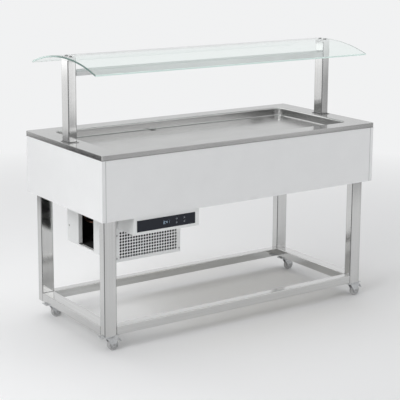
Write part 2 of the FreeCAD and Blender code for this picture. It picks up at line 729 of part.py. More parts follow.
def make_castors():
    """Four swivel castors; the two front ones have brakes."""
    mounts = []
    for name, x, y in castor_places():
        mounts.append(make_castor_mount(name, x, y))
        make_fork(name, x, y)
        make_wheel(name, x, y)
        make_axle(name, x, y)
        if name.startswith("front"):
            make_brake(name, x, y)
    keep(group("castor_mount_set", mounts), "castor_mounts")


# ---------------------------------------------------------------- canopy

GLASS_BOLT = 3
GLASS_BOLT_SPACING = 38


def glass_radius():
    """Outer radius of the canopy arc, from its chord and rise."""
    half = d.glass_chord / 2
    return (half * half + d.glass_rise * d.glass_rise) / (2 * d.glass_rise)


def make_canopy():
    """Two posts with foot flanges, the curved glass, its saddles and bolts, and the light."""
    radius = glass_radius()
    centre = d.glass_crest - radius
    bolts, holes, saddles = [], [], []
    for side_name, side in SIDES:
        x = side * post_x
        post = tube(f"post_{side_name}_tube", d.post_wide, d.post_deep, d.post_top - d.top_level,
                    (x, 0, d.top_level))
        flange = box(f"post_{side_name}_flange", (x - d.post_wide / 2 - 6, -d.post_deep / 2 - 8, d.top_level),
                     (x + d.post_wide / 2 + 6, d.post_deep / 2 + 8, d.top_level + 3))
        keep(fuse(f"post_{side_name}_welded", [post, flange]), f"post_{side_name}")
        half_wide, half_deep = d.post_wide / 2, d.post_deep / 2
        block = box(f"saddle_{side_name}_block", (x - half_wide, -half_deep, d.post_top),
                    (x + half_wide, half_deep, d.glass_crest))
        spigot = box(f"saddle_{side_name}_spigot",
                     (x - half_wide + 3, -half_deep + 3, d.post_top - 25),
                     (x + half_wide - 3, half_deep - 3, d.post_top + 1))
        under = rod(f"saddle_{side_name}_arc", radius - d.glass_thick, d.post_wide + 2,
                    (x - half_wide - 1, 0, centre), ALONG_X)
        topped = doc.addObject("Part::Common", f"saddle_{side_name}_top")
        topped.Base, topped.Tool = block, under
        pins = []
        for y in (-GLASS_BOLT_SPACING / 2, GLASS_BOLT_SPACING / 2):
            shank = rod("glass_bolt_shank", Size(GLASS_BOLT), Size(37), (x, Size(y), d.glass_crest - 34))
            head = rod("glass_bolt_head", Size(7), Size(3), (x, Size(y), d.glass_crest))
            pins.append(shank)
            bolts.append(fuse("glass_bolt", [shank, head]))
            holes.append(rod("glass_hole", Size(GLASS_BOLT + 1), Size(30), (x, Size(y), d.glass_crest - 20)))
        saddles.append(cut(f"saddle_{side_name}", fuse(f"saddle_{side_name}_solid", [topped, spigot]), pins))
    keep(group("saddle_set", saddles), "glass_saddles")
    keep(group("bolt_set", bolts), "glass_bolts")

    outer = rod("glass_outer", radius, d.glass_width, (-d.glass_width / 2, 0, centre), ALONG_X)
    inner = rod("glass_inner", radius - d.glass_thick, d.glass_width + 2,
                (-d.glass_width / 2 - 1, 0, centre), ALONG_X)
    span = box("glass_span", (-d.glass_width / 2 - 1, -d.glass_chord / 2, d.glass_crest - d.glass_rise - 12),
               (d.glass_width / 2 + 1, d.glass_chord / 2, d.glass_crest + 1))
    sheet_of_glass = doc.addObject("Part::Common", "glass_sheet")
    sheet_of_glass.Base, sheet_of_glass.Tool = cut("glass_ring", outer, [inner]), span
    keep(cut("glass_drilled", sheet_of_glass, holes), "glass_canopy")

    reach = post_x - d.post_wide / 2
    lamp_y = Size(28)
    shell = box("lamp_shell", (-reach, -lamp_y, d.lamp_level), (reach, lamp_y, d.lamp_level + d.lamp_tall))
    space = box("lamp_space", (-reach + 3, -lamp_y + 2, d.lamp_level - 1),
                (reach - 3, lamp_y - 2, d.lamp_level + d.lamp_tall - 2))
    keep(cut("lamp_channel", shell, [space]), "light_housing")
    cover = box("lamp_cover", (-reach + 3, -lamp_y + 2, d.lamp_level),
                (reach - 3, lamp_y - 2, d.lamp_level + 4))
    keep(cover, "light_diffuser")


# ---------------------------------------------------------------- drain

VALVE_LEVEL = 680
STEM_RADIUS = 4
PIPE_END = 600
HANDLE_RADIUS = 9
HANDLE_LONG = 65


def make_drain():
    """Waste outlet in the well floor, its strainer, and the pipe with a quarter-turn valve."""
    at = (-d.drain_side, d.drain_back)
    bore = Size(OUTLET_RADIUS - 3)
    wall = Size(OUTLET_RADIUS)
    rim = d.drain_seat - 2
    outlet = turned("outlet", [(bore, Size(-OUTLET_LONG)), (wall, Size(-OUTLET_LONG)), (wall, Size(0)),
                               (rim, Size(0)), (rim, Size(1.2)), (bore, Size(1.2))])
    keep(place(outlet, (*at, drain_level)), "drain_outlet")

    disc = rod("strainer_disc", rim - 2, Size(1), (*at, drain_level + 1.2))
    tail = rod("strainer_tail", bore - 0.2, Size(9), (*at, drain_level - 7))
    hollow = rod("strainer_hollow", bore - 1.4, Size(8), (*at, drain_level - 8))
    slots = [hollow, rod("strainer_hole", Size(1.6), Size(12), (*at, drain_level - 8))]
    for turn in range(6):
        angle = math.radians(60 * turn)
        slots.append(rod("strainer_hole", Size(1.6), Size(12),
                         (at[0] + 5 * math.cos(angle), at[1] + 5 * math.sin(angle), drain_level - 8)))
    keep(cut("strainer", fuse("strainer_solid", [disc, tail]), slots), "drain_strainer")

    top = drain_level - OUTLET_LONG
    low, body = Size(PIPE_END), Size(18)
    drain = turned("drain_line", [(bore, low), (wall, low), (wall, low + 55), (body, low + 62),
                                  (body, low + 98), (wall, low + 105), (wall, top), (bore, top)])
    place(drain, (*at, 0))
    level = Size(VALVE_LEVEL)
    stem = rod("valve_stem", Size(STEM_RADIUS), Size(24), (at[0], at[1] - 38, level), ALONG_Y)
    way = rod("valve_bore", bore, Size(120), (*at, level - 60))
    keep(cut("valve", fuse("valve_solid", [drain, stem]), [way]), "drain_pipe")

    hub = rod("handle_hub", Size(HANDLE_RADIUS), Size(8), (at[0], at[1] - 36, level), ALONG_Y)
    arm = box("handle_arm", (at[0], at[1] - 34, level - 6), (at[0] + HANDLE_LONG, at[1] - 31, level + 6))
    hub_bore = rod("handle_bore", STEM_RADIUS + d.running_gap, Size(20), (at[0], at[1] - 42, level), ALONG_Y)
    keep(cut("handle", fuse("handle_solid", [hub, arm]), [hub_bore]), "drain_valve_lever")


# ---------------------------------------------------------------- condensing unit

HOLE_COLUMNS = 22
HOLE_ROWS = 9
HOLE_PITCH = 13.6
HOLE_RADIUS = 5.2
HOLE_FIRST = (-574.5, 375)
VENT_LOW, VENT_HIGH = (-5, 362), (135, 700)
LEDGE_WIDE = 25
GLAND_X, GLAND_Z = Size(-300), Size(400)
CONDENSER_LOW, CONDENSER_HIGH = (-580, -190, 372), (-280, -130, 600)
COMPRESSOR_BACK = 110
COMPRESSOR_SHELL = [(0, 0), (62, 0), (62, 8), (72, 20), (72, 100), (66, 126), (48, 146), (20, 156), (0, 156)]
SUCTION_LEVEL = 460
FAN_RADIUS = 88
SHAFT_RADIUS = 4


def make_housing():
    """Hung tray with two sides and a back of sheet; the left side has a vent with an inward flange."""
    gauge = d.unit_sheet
    left, right = -d.unit_left, -d.unit_right
    front, back = -d.unit_front + gauge, d.unit_back
    floor, top = d.unit_level + gauge, d.unit_top
    tray = box("housing_tray", (left, front, d.unit_level), (right, back, floor))
    rear = box("housing_back", (left + gauge, back - gauge, floor), (right - gauge, back, top))
    gland_hole = rod("gland_hole", Size(8), Size(10), (GLAND_X, back - 6, GLAND_Z), ALONG_Y)
    left_side = box("housing_left", (left, front, floor), (left + gauge, back, top))
    left_ledge = box("left_ledge", (left, front, top - gauge), (left + LEDGE_WIDE, back - gauge, top))
    vent = box("housing_vent", (left - 1, Size(VENT_LOW[0]), Size(VENT_LOW[1])),
               (left + gauge + 1, Size(VENT_HIGH[0]), Size(VENT_HIGH[1])))
    flange = box("vent_flange", (left, Size(VENT_HIGH[0]), Size(VENT_LOW[1])),
                 (left + 20, VENT_HIGH[0] + gauge, Size(VENT_HIGH[1])))
    right_side = box("housing_right", (right - gauge, front, floor), (right, back, top))
    right_ledge = box("right_ledge", (right - LEDGE_WIDE, front, top - gauge), (right, back - gauge, top))
    rear_drilled = cut("housing_back_drilled", rear, [gland_hole])
    left_vented = cut("housing_left_vented", fuse("left_folded", [left_side, left_ledge, flange]), [vent])
    right_folded = fuse("right_folded", [right_side, right_ledge])
    keep(group("housing_panels", [tray, rear_drilled, left_vented, right_folded]), "unit_housing")

    ring = hexagon("gland_nut", Size(24), Size(6), (GLAND_X, d.unit_back, GLAND_Z), ALONG_Y)
    thread = rod("gland_thread", Size(8), Size(14), (GLAND_X, d.unit_back - 8, GLAND_Z), ALONG_Y)
    dome = rod("gland_dome", Size(9), Size(12), (GLAND_X, d.unit_back + 6, GLAND_Z), ALONG_Y)
    through = rod("gland_bore", Size(4), Size(40), (GLAND_X, d.unit_back - 10, GLAND_Z), ALONG_Y)
    keep(cut("gland", fuse("gland_solid", [ring, thread, dome]), [through]), "cable_gland")


def make_grille():
    """Front sheet with square rows of round holes in its lower half."""
    low_x, high_x = -float(d.unit_left), -float(d.unit_right)
    level, top = float(d.unit_level), float(d.unit_top)
    face_y = -float(d.unit_front)
    corners = ((low_x, level), (high_x, level), (high_x, top), (low_x, top), (low_x, level))
    wires = [Part.makePolygon([Vector(x, face_y, z) for x, z in corners])]
    for row in range(HOLE_ROWS):
        for column in range(HOLE_COLUMNS):
            x, z = HOLE_FIRST[0] + column * HOLE_PITCH, HOLE_FIRST[1] + row * HOLE_PITCH
            centre = Vector(x, face_y, z)
            wires.append(Part.Wire(Part.makeCircle(HOLE_RADIUS, centre, Vector(0, 1, 0))))
    face = Part.makeFace(wires, "Part::FaceMakerBullseye")
    grille = doc.addObject("Part::Feature", "grille")
    grille.Shape = face.extrude(Vector(0, float(d.unit_sheet), 0))
    keep(grille, "condenser_grille")


def make_cooling():
    """Compressor, condenser, fan and the lines between them, on the tray."""
    floor = d.unit_level + d.unit_sheet
    back = Size(COMPRESSOR_BACK)
    dome = turned("compressor_dome", [(Size(r), Size(z)) for r, z in COMPRESSOR_SHELL])
    place(dome, (unit_middle, back, floor + 10))
    feet = [box("compressor_foot", (unit_middle - 85, back + y, floor),
                (unit_middle + 85, back + y + 30, floor + 11)) for y in (-50, 20)]
    relay = box("compressor_relay", (unit_middle + 60, back - 20, floor + 60),
                (unit_middle + 92, back + 20, floor + 110))
    keep(fuse("compressor_solid", [dome] + feet + [relay]), "compressor")

    low, high = CONDENSER_LOW, CONDENSER_HIGH
    core = box("condenser_core", tuple(map(Size, low)), tuple(map(Size, high)))
    feet = [box("condenser_foot", (Size(x), Size(low[1]), floor),
                (Size(x + 12), Size(high[1]), Size(low[2] + 1))) for x in (low[0], high[0] - 12)]
    keep(fuse("condenser_solid", [core] + feet), "condenser")

    plate = box("shroud_plate", (Size(low[0]), Size(high[1]), Size(low[2])),
                (Size(high[0]), Size(high[1] + 3), Size(high[2])))
    behind = Size(high[1])
    collar = rod("shroud_collar", Size(FAN_RADIUS + 7), Size(26), (unit_middle, behind, d.fan_level), ALONG_Y)
    bore = rod("shroud_bore", Size(FAN_RADIUS + 4), Size(60),
               (unit_middle, behind - 10, d.fan_level), ALONG_Y)
    keep(cut("shroud", fuse("shroud_solid", [plate, collar]), [bore]), "fan_shroud")

    hub = rod("rotor_hub", Size(22), Size(20), (unit_middle, Size(-124), d.fan_level), ALONG_Y)
    shaft = rod("rotor_shaft", Size(SHAFT_RADIUS), Size(40), (unit_middle, Size(-114), d.fan_level), ALONG_Y)
    blades = []
    for turn in range(5):
        blade = doc.addObject("Part::Box", "rotor_blade")
        blade.Length, blade.Width, blade.Height = 44, 2, FAN_RADIUS - 18
        blade.Placement = (Placement(Vector(float(unit_middle), -114, float(d.fan_level)),
                                     Rotation(Vector(0, 1, 0), 72 * turn))
                           * Placement(Vector(0, 0, 0), Rotation(Vector(0, 0, 1), 24))
                           * Placement(Vector(-22, -1, 17), Rotation()))
        blades.append(blade)
    keep(fuse("rotor", [hub, shaft] + blades), "fan_rotor")

    can = rod("motor_can", Size(36), Size(52), (unit_middle, Size(-98), d.fan_level), ALONG_Y)
    stand = box("motor_stand", (unit_middle - 20, Size(-88), floor),
                (unit_middle + 20, Size(-58), d.fan_level - 20))
    motor_bore = rod("motor_bore", SHAFT_RADIUS + d.running_gap, Size(30),
                     (unit_middle, Size(-100), d.fan_level), ALONG_Y)
    keep(cut("motor", fuse("motor_solid", [can, stand]), [motor_bore]), "fan_motor")

    shell_x = float(unit_middle) - COMPRESSOR_SHELL[3][0]
    suction = pipe("suction_line",
                   [(COIL_RISER, COIL_SIDE, LINE_END), (COIL_RISER, COIL_SIDE, SUCTION_LEVEL),
                    (COIL_RISER, COMPRESSOR_BACK, SUCTION_LEVEL), (shell_x, COMPRESSOR_BACK, SUCTION_LEVEL)],
                   COIL_RADIUS, LINE_BEND)
    inlet_z, inlet_y = CONDENSER_HIGH[2], (CONDENSER_LOW[1] + CONDENSER_HIGH[1]) / 2
    liquid = pipe("liquid_line", [(COIL_RISER, -COIL_SIDE, LINE_END), (COIL_RISER, -COIL_SIDE, inlet_z)],
                  COIL_RADIUS, LINE_BEND)
    out_x, out_y, over = float(unit_middle) + 105, COMPRESSOR_BACK - 50, inlet_z + 30
    discharge = pipe("discharge_line",
                     [(out_x - 45, out_y, SUCTION_LEVEL), (out_x, out_y, SUCTION_LEVEL), (out_x, out_y, over),
                      (out_x, inlet_y, over), (out_x, inlet_y, inlet_z)], 3, 12)
    keep(group("line_set", [suction, liquid, discharge]), "refrigerant_lines")


# ---------------------------------------------------------------- controls

FASCIA_LOW, FASCIA_HIGH = (-576, 519), (-279, 569)
KEY_PLACES = ((-376, 536), (-336, 536), (-376, 553), (-336, 553))
KEY_RADIUS = 5
KEY_GAP = 0.3


def make_controls():
    """Control box in front of the unit, its dark fascia and four press keys."""
    gauge = d.unit_sheet
    front = -d.control_front
    shell = box("control_shell", (-d.control_left, front, d.control_level),
                (-d.control_right, -d.unit_front, d.skirt_level))
    inside = box("control_inside", (-d.control_left + gauge, front + gauge, d.control_level + gauge),
                 (-d.control_right - gauge, -d.unit_front + 1, d.skirt_level - gauge))
    window = box("control_window", (Size(FASCIA_LOW[0]), front - 1, Size(FASCIA_LOW[1])),
                 (Size(FASCIA_HIGH[0]), front + gauge + 1, Size(FASCIA_HIGH[1])))
    keep(cut("control_case", shell, [inside, window]), "control_box")

    pane = box("fascia_pane", (Size(FASCIA_LOW[0]), front - 1, Size(FASCIA_LOW[1])),
               (Size(FASCIA_HIGH[0]), front + 3, Size(FASCIA_HIGH[1])))
    holes = [rod("key_hole", Size(KEY_RADIUS + KEY_GAP), Size(10), (Size(x), front - 3, Size(z)), ALONG_Y)
             for x, z in KEY_PLACES]
    keep(cut("fascia", pane, holes), "control_fascia")
    for number, (x, z) in enumerate(KEY_PLACES, start=1):
        cap = rod(f"key_{number}_cap", Size(KEY_RADIUS), Size(6), (Size(x), front - 2, Size(z)), ALONG_Y)
        flange = rod(f"key_{number}_flange", Size(KEY_RADIUS + 1.5), Size(1),
                     (Size(x), front + 3.2, Size(z)), ALONG_Y)
        keep(fuse(f"key_{number}_solid", [cap, flange]), f"control_key_{number}")


# ---------------------------------------------------------------- build, check and write

def check_and_write():
    """Stop on any failed object, then write every sub-part to its own file."""
    doc.recompute()
    for item in doc.Objects:
        if "Invalid" in item.State or "Error" in item.State:
            raise RuntimeError(f"{item.Label} did not build: {item.State}")
    os.makedirs("parts", exist_ok=True)
    for item in made_parts:
        shape = item.Shape
        if shape.isNull() or not shape.isValid() or not shape.Solids:
            raise RuntimeError(f"{item.Label} has no valid solid")
        shape.exportStep(f"parts/{item.Label}.step")
        bounds = shape.BoundBox
        print(f"{item.Label:28s} solids {len(shape.Solids):2d} volume {shape.Volume / 1000:9.1f} cm3  "
              f"x {bounds.XMin:7.1f} {bounds.XMax:7.1f}  y {bounds.YMin:7.1f} {bounds.YMax:7.1f}  "
              f"z {bounds.ZMin:7.1f} {bounds.ZMax:7.1f}")
    print(len(made_parts), "sub-parts")


make_worktop()
make_well()
make_insulation()
make_evaporator()
make_core_and_skirt()
make_legs()
make_bottom_rails()
make_top_frame()
make_castors()
make_canopy()
make_drain()
make_housing()
make_grille()
make_cooling()
make_controls()
check_and_write()
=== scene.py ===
"""Mobile salad bar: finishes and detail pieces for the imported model, and a plain studio around it.

All lengths are in metres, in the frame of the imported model: the origin is on the floor under the
middle of the worktop, +X to the right end, +Y to the back, +Z up.
"""
import json
import math

import bmesh
import bpy
from bpy.props import FloatProperty, FloatVectorProperty, IntProperty
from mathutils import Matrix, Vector


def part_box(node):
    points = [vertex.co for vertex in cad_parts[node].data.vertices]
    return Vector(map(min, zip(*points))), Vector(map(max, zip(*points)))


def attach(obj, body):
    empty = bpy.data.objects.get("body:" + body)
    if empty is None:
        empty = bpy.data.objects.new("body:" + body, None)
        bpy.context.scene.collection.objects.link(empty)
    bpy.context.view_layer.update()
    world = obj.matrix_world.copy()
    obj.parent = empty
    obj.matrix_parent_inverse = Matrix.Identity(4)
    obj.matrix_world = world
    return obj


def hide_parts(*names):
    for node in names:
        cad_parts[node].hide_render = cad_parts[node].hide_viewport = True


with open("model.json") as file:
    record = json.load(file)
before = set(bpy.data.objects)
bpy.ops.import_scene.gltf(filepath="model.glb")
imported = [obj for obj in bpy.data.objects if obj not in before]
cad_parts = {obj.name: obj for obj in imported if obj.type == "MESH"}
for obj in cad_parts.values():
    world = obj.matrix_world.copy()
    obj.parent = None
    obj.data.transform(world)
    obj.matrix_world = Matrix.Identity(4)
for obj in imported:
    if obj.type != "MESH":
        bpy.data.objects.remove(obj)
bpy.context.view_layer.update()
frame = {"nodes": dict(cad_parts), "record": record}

NODES = frame["nodes"]

bl_info = {
    "name": "Mobile Salad Bar",
    "version": (1, 0, 0),
    "blender": (4, 5, 0),
    "location": "3D View > Sidebar > Salad Bar",
    "description": "Finishes and detail pieces of a mobile salad bar, with a plain studio",
    "category": "Object",
}

UP = Vector((0, 0, 1))
CASTORS = ("front_left", "front_right", "rear_left", "rear_right")
LEGS = ("front_left", "front_right", "back_left", "back_right")
BODY_OF = {node: body for body, nodes in frame["record"]["behaviour"]["bodies"].items() for node in nodes}

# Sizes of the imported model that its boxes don't give
WELL_HALF_X, WELL_HALF_Y = 0.65, 0.265      # half the well's opening
WELL_CORNER = 0.035                         # corner of the opening, in plan
WELL_DEPTH = 0.019                          # from the well's upper edge to its floor
TOP_CORNER = 0.009                          # corner of the worktop, in plan
TOP_RETURN = 0.012                          # the folded edge's return under the worktop
DRAIN_HOLE, DRAIN_SEAT = 0.017, 0.0185      # radii
GLASS_THICK, GLASS_RADIUS = 0.008, 0.894
POST_FLANGE = (0.006, 0.008, 0.003)         # past the post in x and y, and its thickness
BOLT_X, BOLT_Y = 0.71, 0.019                # bolts of the canopy
VENT_Y, VENT_Z = (-0.005, 0.135), (0.362, 0.7)
SKIRT_JOINT = 0.730                         # the skirt's corner joints, from the middle
FAN_Y = -0.114                              # middle of the fan's blades
CLOSE = 1e-5                                # two levels nearer than this are the same


# ---------------------------------------------------------------- settings

def length(name, description, default):
    return FloatProperty(name=name, description=description, default=default, min=0.0,
                         unit="LENGTH", precision=4)


def colour(name, description, default):
    return FloatVectorProperty(name=name, description=description, default=default, min=0.0, max=1.0,
                               size=3, subtype="COLOR")


def power(name, description, default):
    return FloatProperty(name=name, description=description, default=default, min=0.0, unit="POWER")


class BarSizes(bpy.types.PropertyGroup):
    """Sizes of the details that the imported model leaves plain."""
    lip_round: length("Lip rounding", "Radius of the rolled lip around the well", 0.008)
    floor_round: length("Floor rounding", "Radius between the well's wall and its floor", 0.004)
    draft: length("Draft", "How far the well's wall leans in from lip to floor", 0.0012)
    edge_round: length("Edge rounding", "Radius along the worktop's top edge", 0.0015)
    sheet: length("Sheet", "Thickness of the worktop sheet", 0.0012)
    board_round: length("Board rounding", "Eased edge of the skirt boards", 0.0012)
    glass_chamfer: length("Glass edge", "Ground edge of the canopy glass", 0.0008)
    fin_pitch: length("Fin pitch", "Distance between the condenser's fins", 0.0035)
    corner_steps: IntProperty(name="Corner steps", description="Faces around each rounded corner",
                              default=12, min=2, max=32)


class BarFinishes(bpy.types.PropertyGroup):
    """Colours of the finishes."""
    top_steel: colour("Worktop steel", "Brushed steel of the worktop and well", (0.46, 0.46, 0.455))
    tube_steel: colour("Tube steel", "Bright brushed steel of the legs, rails and posts", (0.62, 0.62, 0.615))
    laminate: colour("Laminate", "White laminate of the skirt", (0.84, 0.845, 0.845))
    glass: colour("Glass", "Body of the canopy glass", (0.93, 0.985, 0.965))
    # Front and rear edge colour: a painted glow that stands in for light carried inside the glass.
    painted_edge_glow: colour("Glass edge", "Front and rear edge of the canopy glass", (0.84, 1.0, 0.95))
    glass_end: colour("Glass end", "Ends of the canopy glass", (0.09, 0.20, 0.17))
    unit_sheet: colour("Unit sheet", "Painted sheet of the condensing unit", (0.82, 0.83, 0.825))
    fascia: colour("Fascia", "Dark pane of the controls", (0.010, 0.013, 0.021))
    digits: colour("Digits", "Lit digits and lamps of the controls", (0.55, 0.75, 0.95))
    tyre: colour("Tyre", "Grey tread of the castors", (0.42, 0.42, 0.42))


class BarStage(bpy.types.PropertyGroup):
    """Camera, floor and lights."""
    camera_place: FloatVectorProperty(name="Camera place", description="Where the camera stands",
                                      default=(-3.09073, -4.48074, 1.83703), subtype="TRANSLATION",
                                      unit="LENGTH")
    camera_turn: FloatVectorProperty(name="Camera turn", description="Euler angles of the camera",
                                     default=(1.383468, -0.005856, -0.599299), subtype="EULER",
                                     unit="ROTATION")
    lens: FloatProperty(name="Lens", description="Focal length in millimetres on a 36 mm sensor",
                        default=106.136)
    rise: FloatProperty(name="Rise", description="Vertical shift of the camera", default=-0.15)
    floor: colour("Floor", "Plain pale floor", (0.90, 0.90, 0.90))
    background: colour("Background", "What the camera, reflections and glass see behind the object",
                       (0.88, 0.885, 0.89))
    surround: colour("Surround", "Dark room that steel mirrors around the light panels", (0.05, 0.05, 0.053))
    sky: FloatProperty(name="Sky", description="Level of the soft light from all around", default=0.45,
                       min=0.0)
    key: power("Key light", "Large soft light at the left", 84.0)
    top: power("Top light", "Soft light overhead", 36.0)
    rear: power("Rear light", "Small soft light above and behind the object", 14.0)
    front: power("Front panel", "Light panel that stands at the front right", 4.0)
    window: power("Window panel", "Brighter light panel above the front one", 12.0)
    back: power("Back panel", "Light panel that stands at the back left", 8.0)
    fill: power("Fill light", "Soft light from the front right that steel doesn't mirror", 10.0)


# ---------------------------------------------------------------- modelling helpers

def rest():
    """Leave edit mode, with nothing selected."""
    if bpy.context.mode != "OBJECT":
        bpy.ops.object.mode_set(mode="OBJECT")
    bpy.ops.object.select_all(action="DESELECT")


def work_on(piece):
    """Make one piece active and alone in the selection."""
    rest()
    piece.select_set(True)
    bpy.context.view_layer.objects.active = piece


def settled(name):
    """Name the new primitive and move its place into its mesh."""
    piece = bpy.context.object
    piece.name = piece.data.name = name
    bpy.ops.object.transform_apply(location=True, rotation=True, scale=True)
    return piece


def block(name, low, high):
    """A block between two corners."""
    rest()
    low, high = Vector(low), Vector(high)
    bpy.ops.mesh.primitive_cube_add(size=1, location=(low + high) / 2)
    bpy.context.object.scale = high - low
    return settled(name)


def flat(name, place, wide, deep, turn=(0, 0, 0)):
    """A flat rectangle about a point, turned."""
    rest()
    bpy.ops.mesh.primitive_plane_add(size=1, location=place, rotation=turn)
    bpy.context.object.scale = (wide, deep, 1)
    return settled(name)


def bar(name, start, end, radius, sides=32):
    """A round bar between two points."""
    rest()
    start, end = Vector(start), Vector(end)
    turn = UP.rotation_difference(end - start).to_euler()
    bpy.ops.mesh.primitive_cylinder_add(vertices=sides, radius=radius, depth=(end - start).length,
                                        location=(start + end) / 2, rotation=turn)
    return settled(name)


def upright(name, place, low, high, radius, sides=32):
    """A round bar that stands at a place, between two levels."""
    return bar(name, (place[0], place[1], low), (place[0], place[1], high), radius, sides)


def pick(piece, kind, wanted):
    """Select the vertices, edges or faces of a piece that the test wants, in edit mode."""
    work_on(piece)
    bpy.ops.object.mode_set(mode="EDIT")
    bpy.ops.mesh.select_mode(type=kind)
    bpy.ops.mesh.select_all(action="DESELECT")
    mesh = bmesh.from_edit_mesh(piece.data)
    for part in {"VERT": mesh.verts, "EDGE": mesh.edges, "FACE": mesh.faces}[kind]:
        if wanted(part):
            part.select_set(True)
    mesh.select_flush_mode()
    bmesh.update_edit_mesh(piece.data)


def middle(part):
    """Middle of an edge or face."""
    return sum((v.co for v in part.verts), Vector()) / len(part.verts)


def faces_up(part):
    return part.normal.z > 0.9


def faces_down(part):
    return part.normal.z < -0.9


def many_sided(part):
    return len(part.verts) > 4


def reach(part, axis):
    """How far an edge reaches along an axis."""
    return abs(part.verts[0].co[axis] - part.verts[1].co[axis])


def on_top(part, level):
    """Whether an edge or face lies at a level that nothing of its piece passes."""
    return all(v.co.z > level - CLOSE for v in part.verts)


def rounded(piece, wanted, radius, segments):
    """Round the edges of a piece that the test wants."""
    pick(piece, "EDGE", wanted)
    bpy.ops.mesh.bevel(offset=radius, segments=segments, affect="EDGES")
    rest()
    return piece


def sink(thickness, depth=0.0, individual=False):
    """Inset the selected faces, and push them along their normal."""
    bpy.ops.mesh.inset(thickness=thickness, depth=depth, use_even_offset=True, use_individual=individual)


def pressed(piece, wanted, *steps, individual=False):
    """Inset the faces that the test wants and push them in or out, one step after the other."""
    pick(piece, "FACE", wanted)
    for step in steps:
        sink(*step, individual=individual)
    rest()
    return piece


def pull(offset):
    """Extrude the selection by an offset."""
    bpy.ops.mesh.extrude_region_move(TRANSFORM_OT_translate={"value": tuple(offset)})


def modify(piece, kind, **settings):
    """Add a modifier and apply it."""
    work_on(piece)
    modifier = piece.modifiers.new(kind.title(), kind)
    for key, value in settings.items():
        setattr(modifier, key, value)
    bpy.ops.object.modifier_apply(modifier=modifier.name)
    return piece


def soften(piece, width, segments=2, angle=35):
    """Round every sharp edge of a piece and shade it smooth between them."""
    modify(piece, "BEVEL", width=width, segments=segments, limit_method="ANGLE",
           angle_limit=math.radians(angle))
    return smooth(piece)


def smooth(piece, angle=40):
    """Smooth shading with sharp edges kept, in which flat faces stay flat."""
    work_on(piece)
    bpy.ops.object.shade_smooth_by_angle(angle=math.radians(angle))
    return modify(piece, "WEIGHTED_NORMAL", keep_sharp=True)


def face_out(piece):
    """Merge doubles and turn every face outwards."""
    pick(piece, "VERT", lambda part: True)
    bpy.ops.mesh.remove_doubles(threshold=CLOSE)
    bpy.ops.mesh.normals_make_consistent(inside=False)
    rest()
    return piece


def join(name, pieces):
    """Join pieces into the first one."""
    rest()
    for piece in pieces:
        piece.select_set(True)
    bpy.context.view_layer.objects.active = pieces[0]
    if len(pieces) > 1:
        bpy.ops.object.join()
    pieces[0].name = pieces[0].data.name = name
    return pieces[0]


def copied(piece, name, offset, turn=(0, 0, 0)):
    """A copy with its own mesh, turned about the origin and moved by an offset."""
    twin = piece.copy()
    twin.data = piece.data.copy()
    bpy.context.scene.collection.objects.link(twin)
    work_on(twin)
    twin.location, twin.rotation_euler = offset, turn
    return settled(name)


def repeated(piece, name, places):
    """Copies of a piece modelled at the origin, one at each offset and turn, joined; the first goes."""
    twins = [copied(piece, f"{name}_{index}", *place) for index, place in enumerate(places)]
    bpy.data.objects.remove(piece)
    return join(name, twins)


def carved(piece, cutters):
    """Take cutters out of a piece."""
    for cutter in cutters:
        modify(piece, "BOOLEAN", operation="DIFFERENCE", solver="EXACT", object=cutter)
        bpy.data.objects.remove(cutter)
    return piece


def eased(node, name, width=0.0, segments=2, angle=35):
    """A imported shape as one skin, with its sharp edges eased."""
    piece = bpy.data.objects.new(name, NODES[node].data.copy())
    bpy.context.scene.collection.objects.link(piece)
    piece.data.name = name
    work_on(piece)
    bpy.ops.mesh.customdata_custom_splitnormals_clear()
    pick(piece, "VERT", lambda part: True)
    bpy.ops.mesh.remove_doubles(threshold=2e-5)
    bpy.ops.mesh.dissolve_limited(angle_limit=math.radians(0.5))
    rest()
    if width:
        soften(piece, width, segments, angle)
    return smooth(piece)


def dressed(piece, finish, slot, body, *nodes):
    """Give a piece its finish and the body that carries it, and hide the nodes it stands for. The slot is not
    used.
    """
    if finish is not None:
        piece.data.materials.clear()
        piece.data.materials.append(material(finish))
    if nodes:
        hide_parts(*nodes)
    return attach(piece, body)


def kept(node, name, finish, slot, *easing):
    """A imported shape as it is, with its edges eased, in its own place."""
    return dressed(eased(node, name, *easing), finish, slot, BODY_OF.get(node, "root"), node)


# ---------------------------------------------------------------- finishes

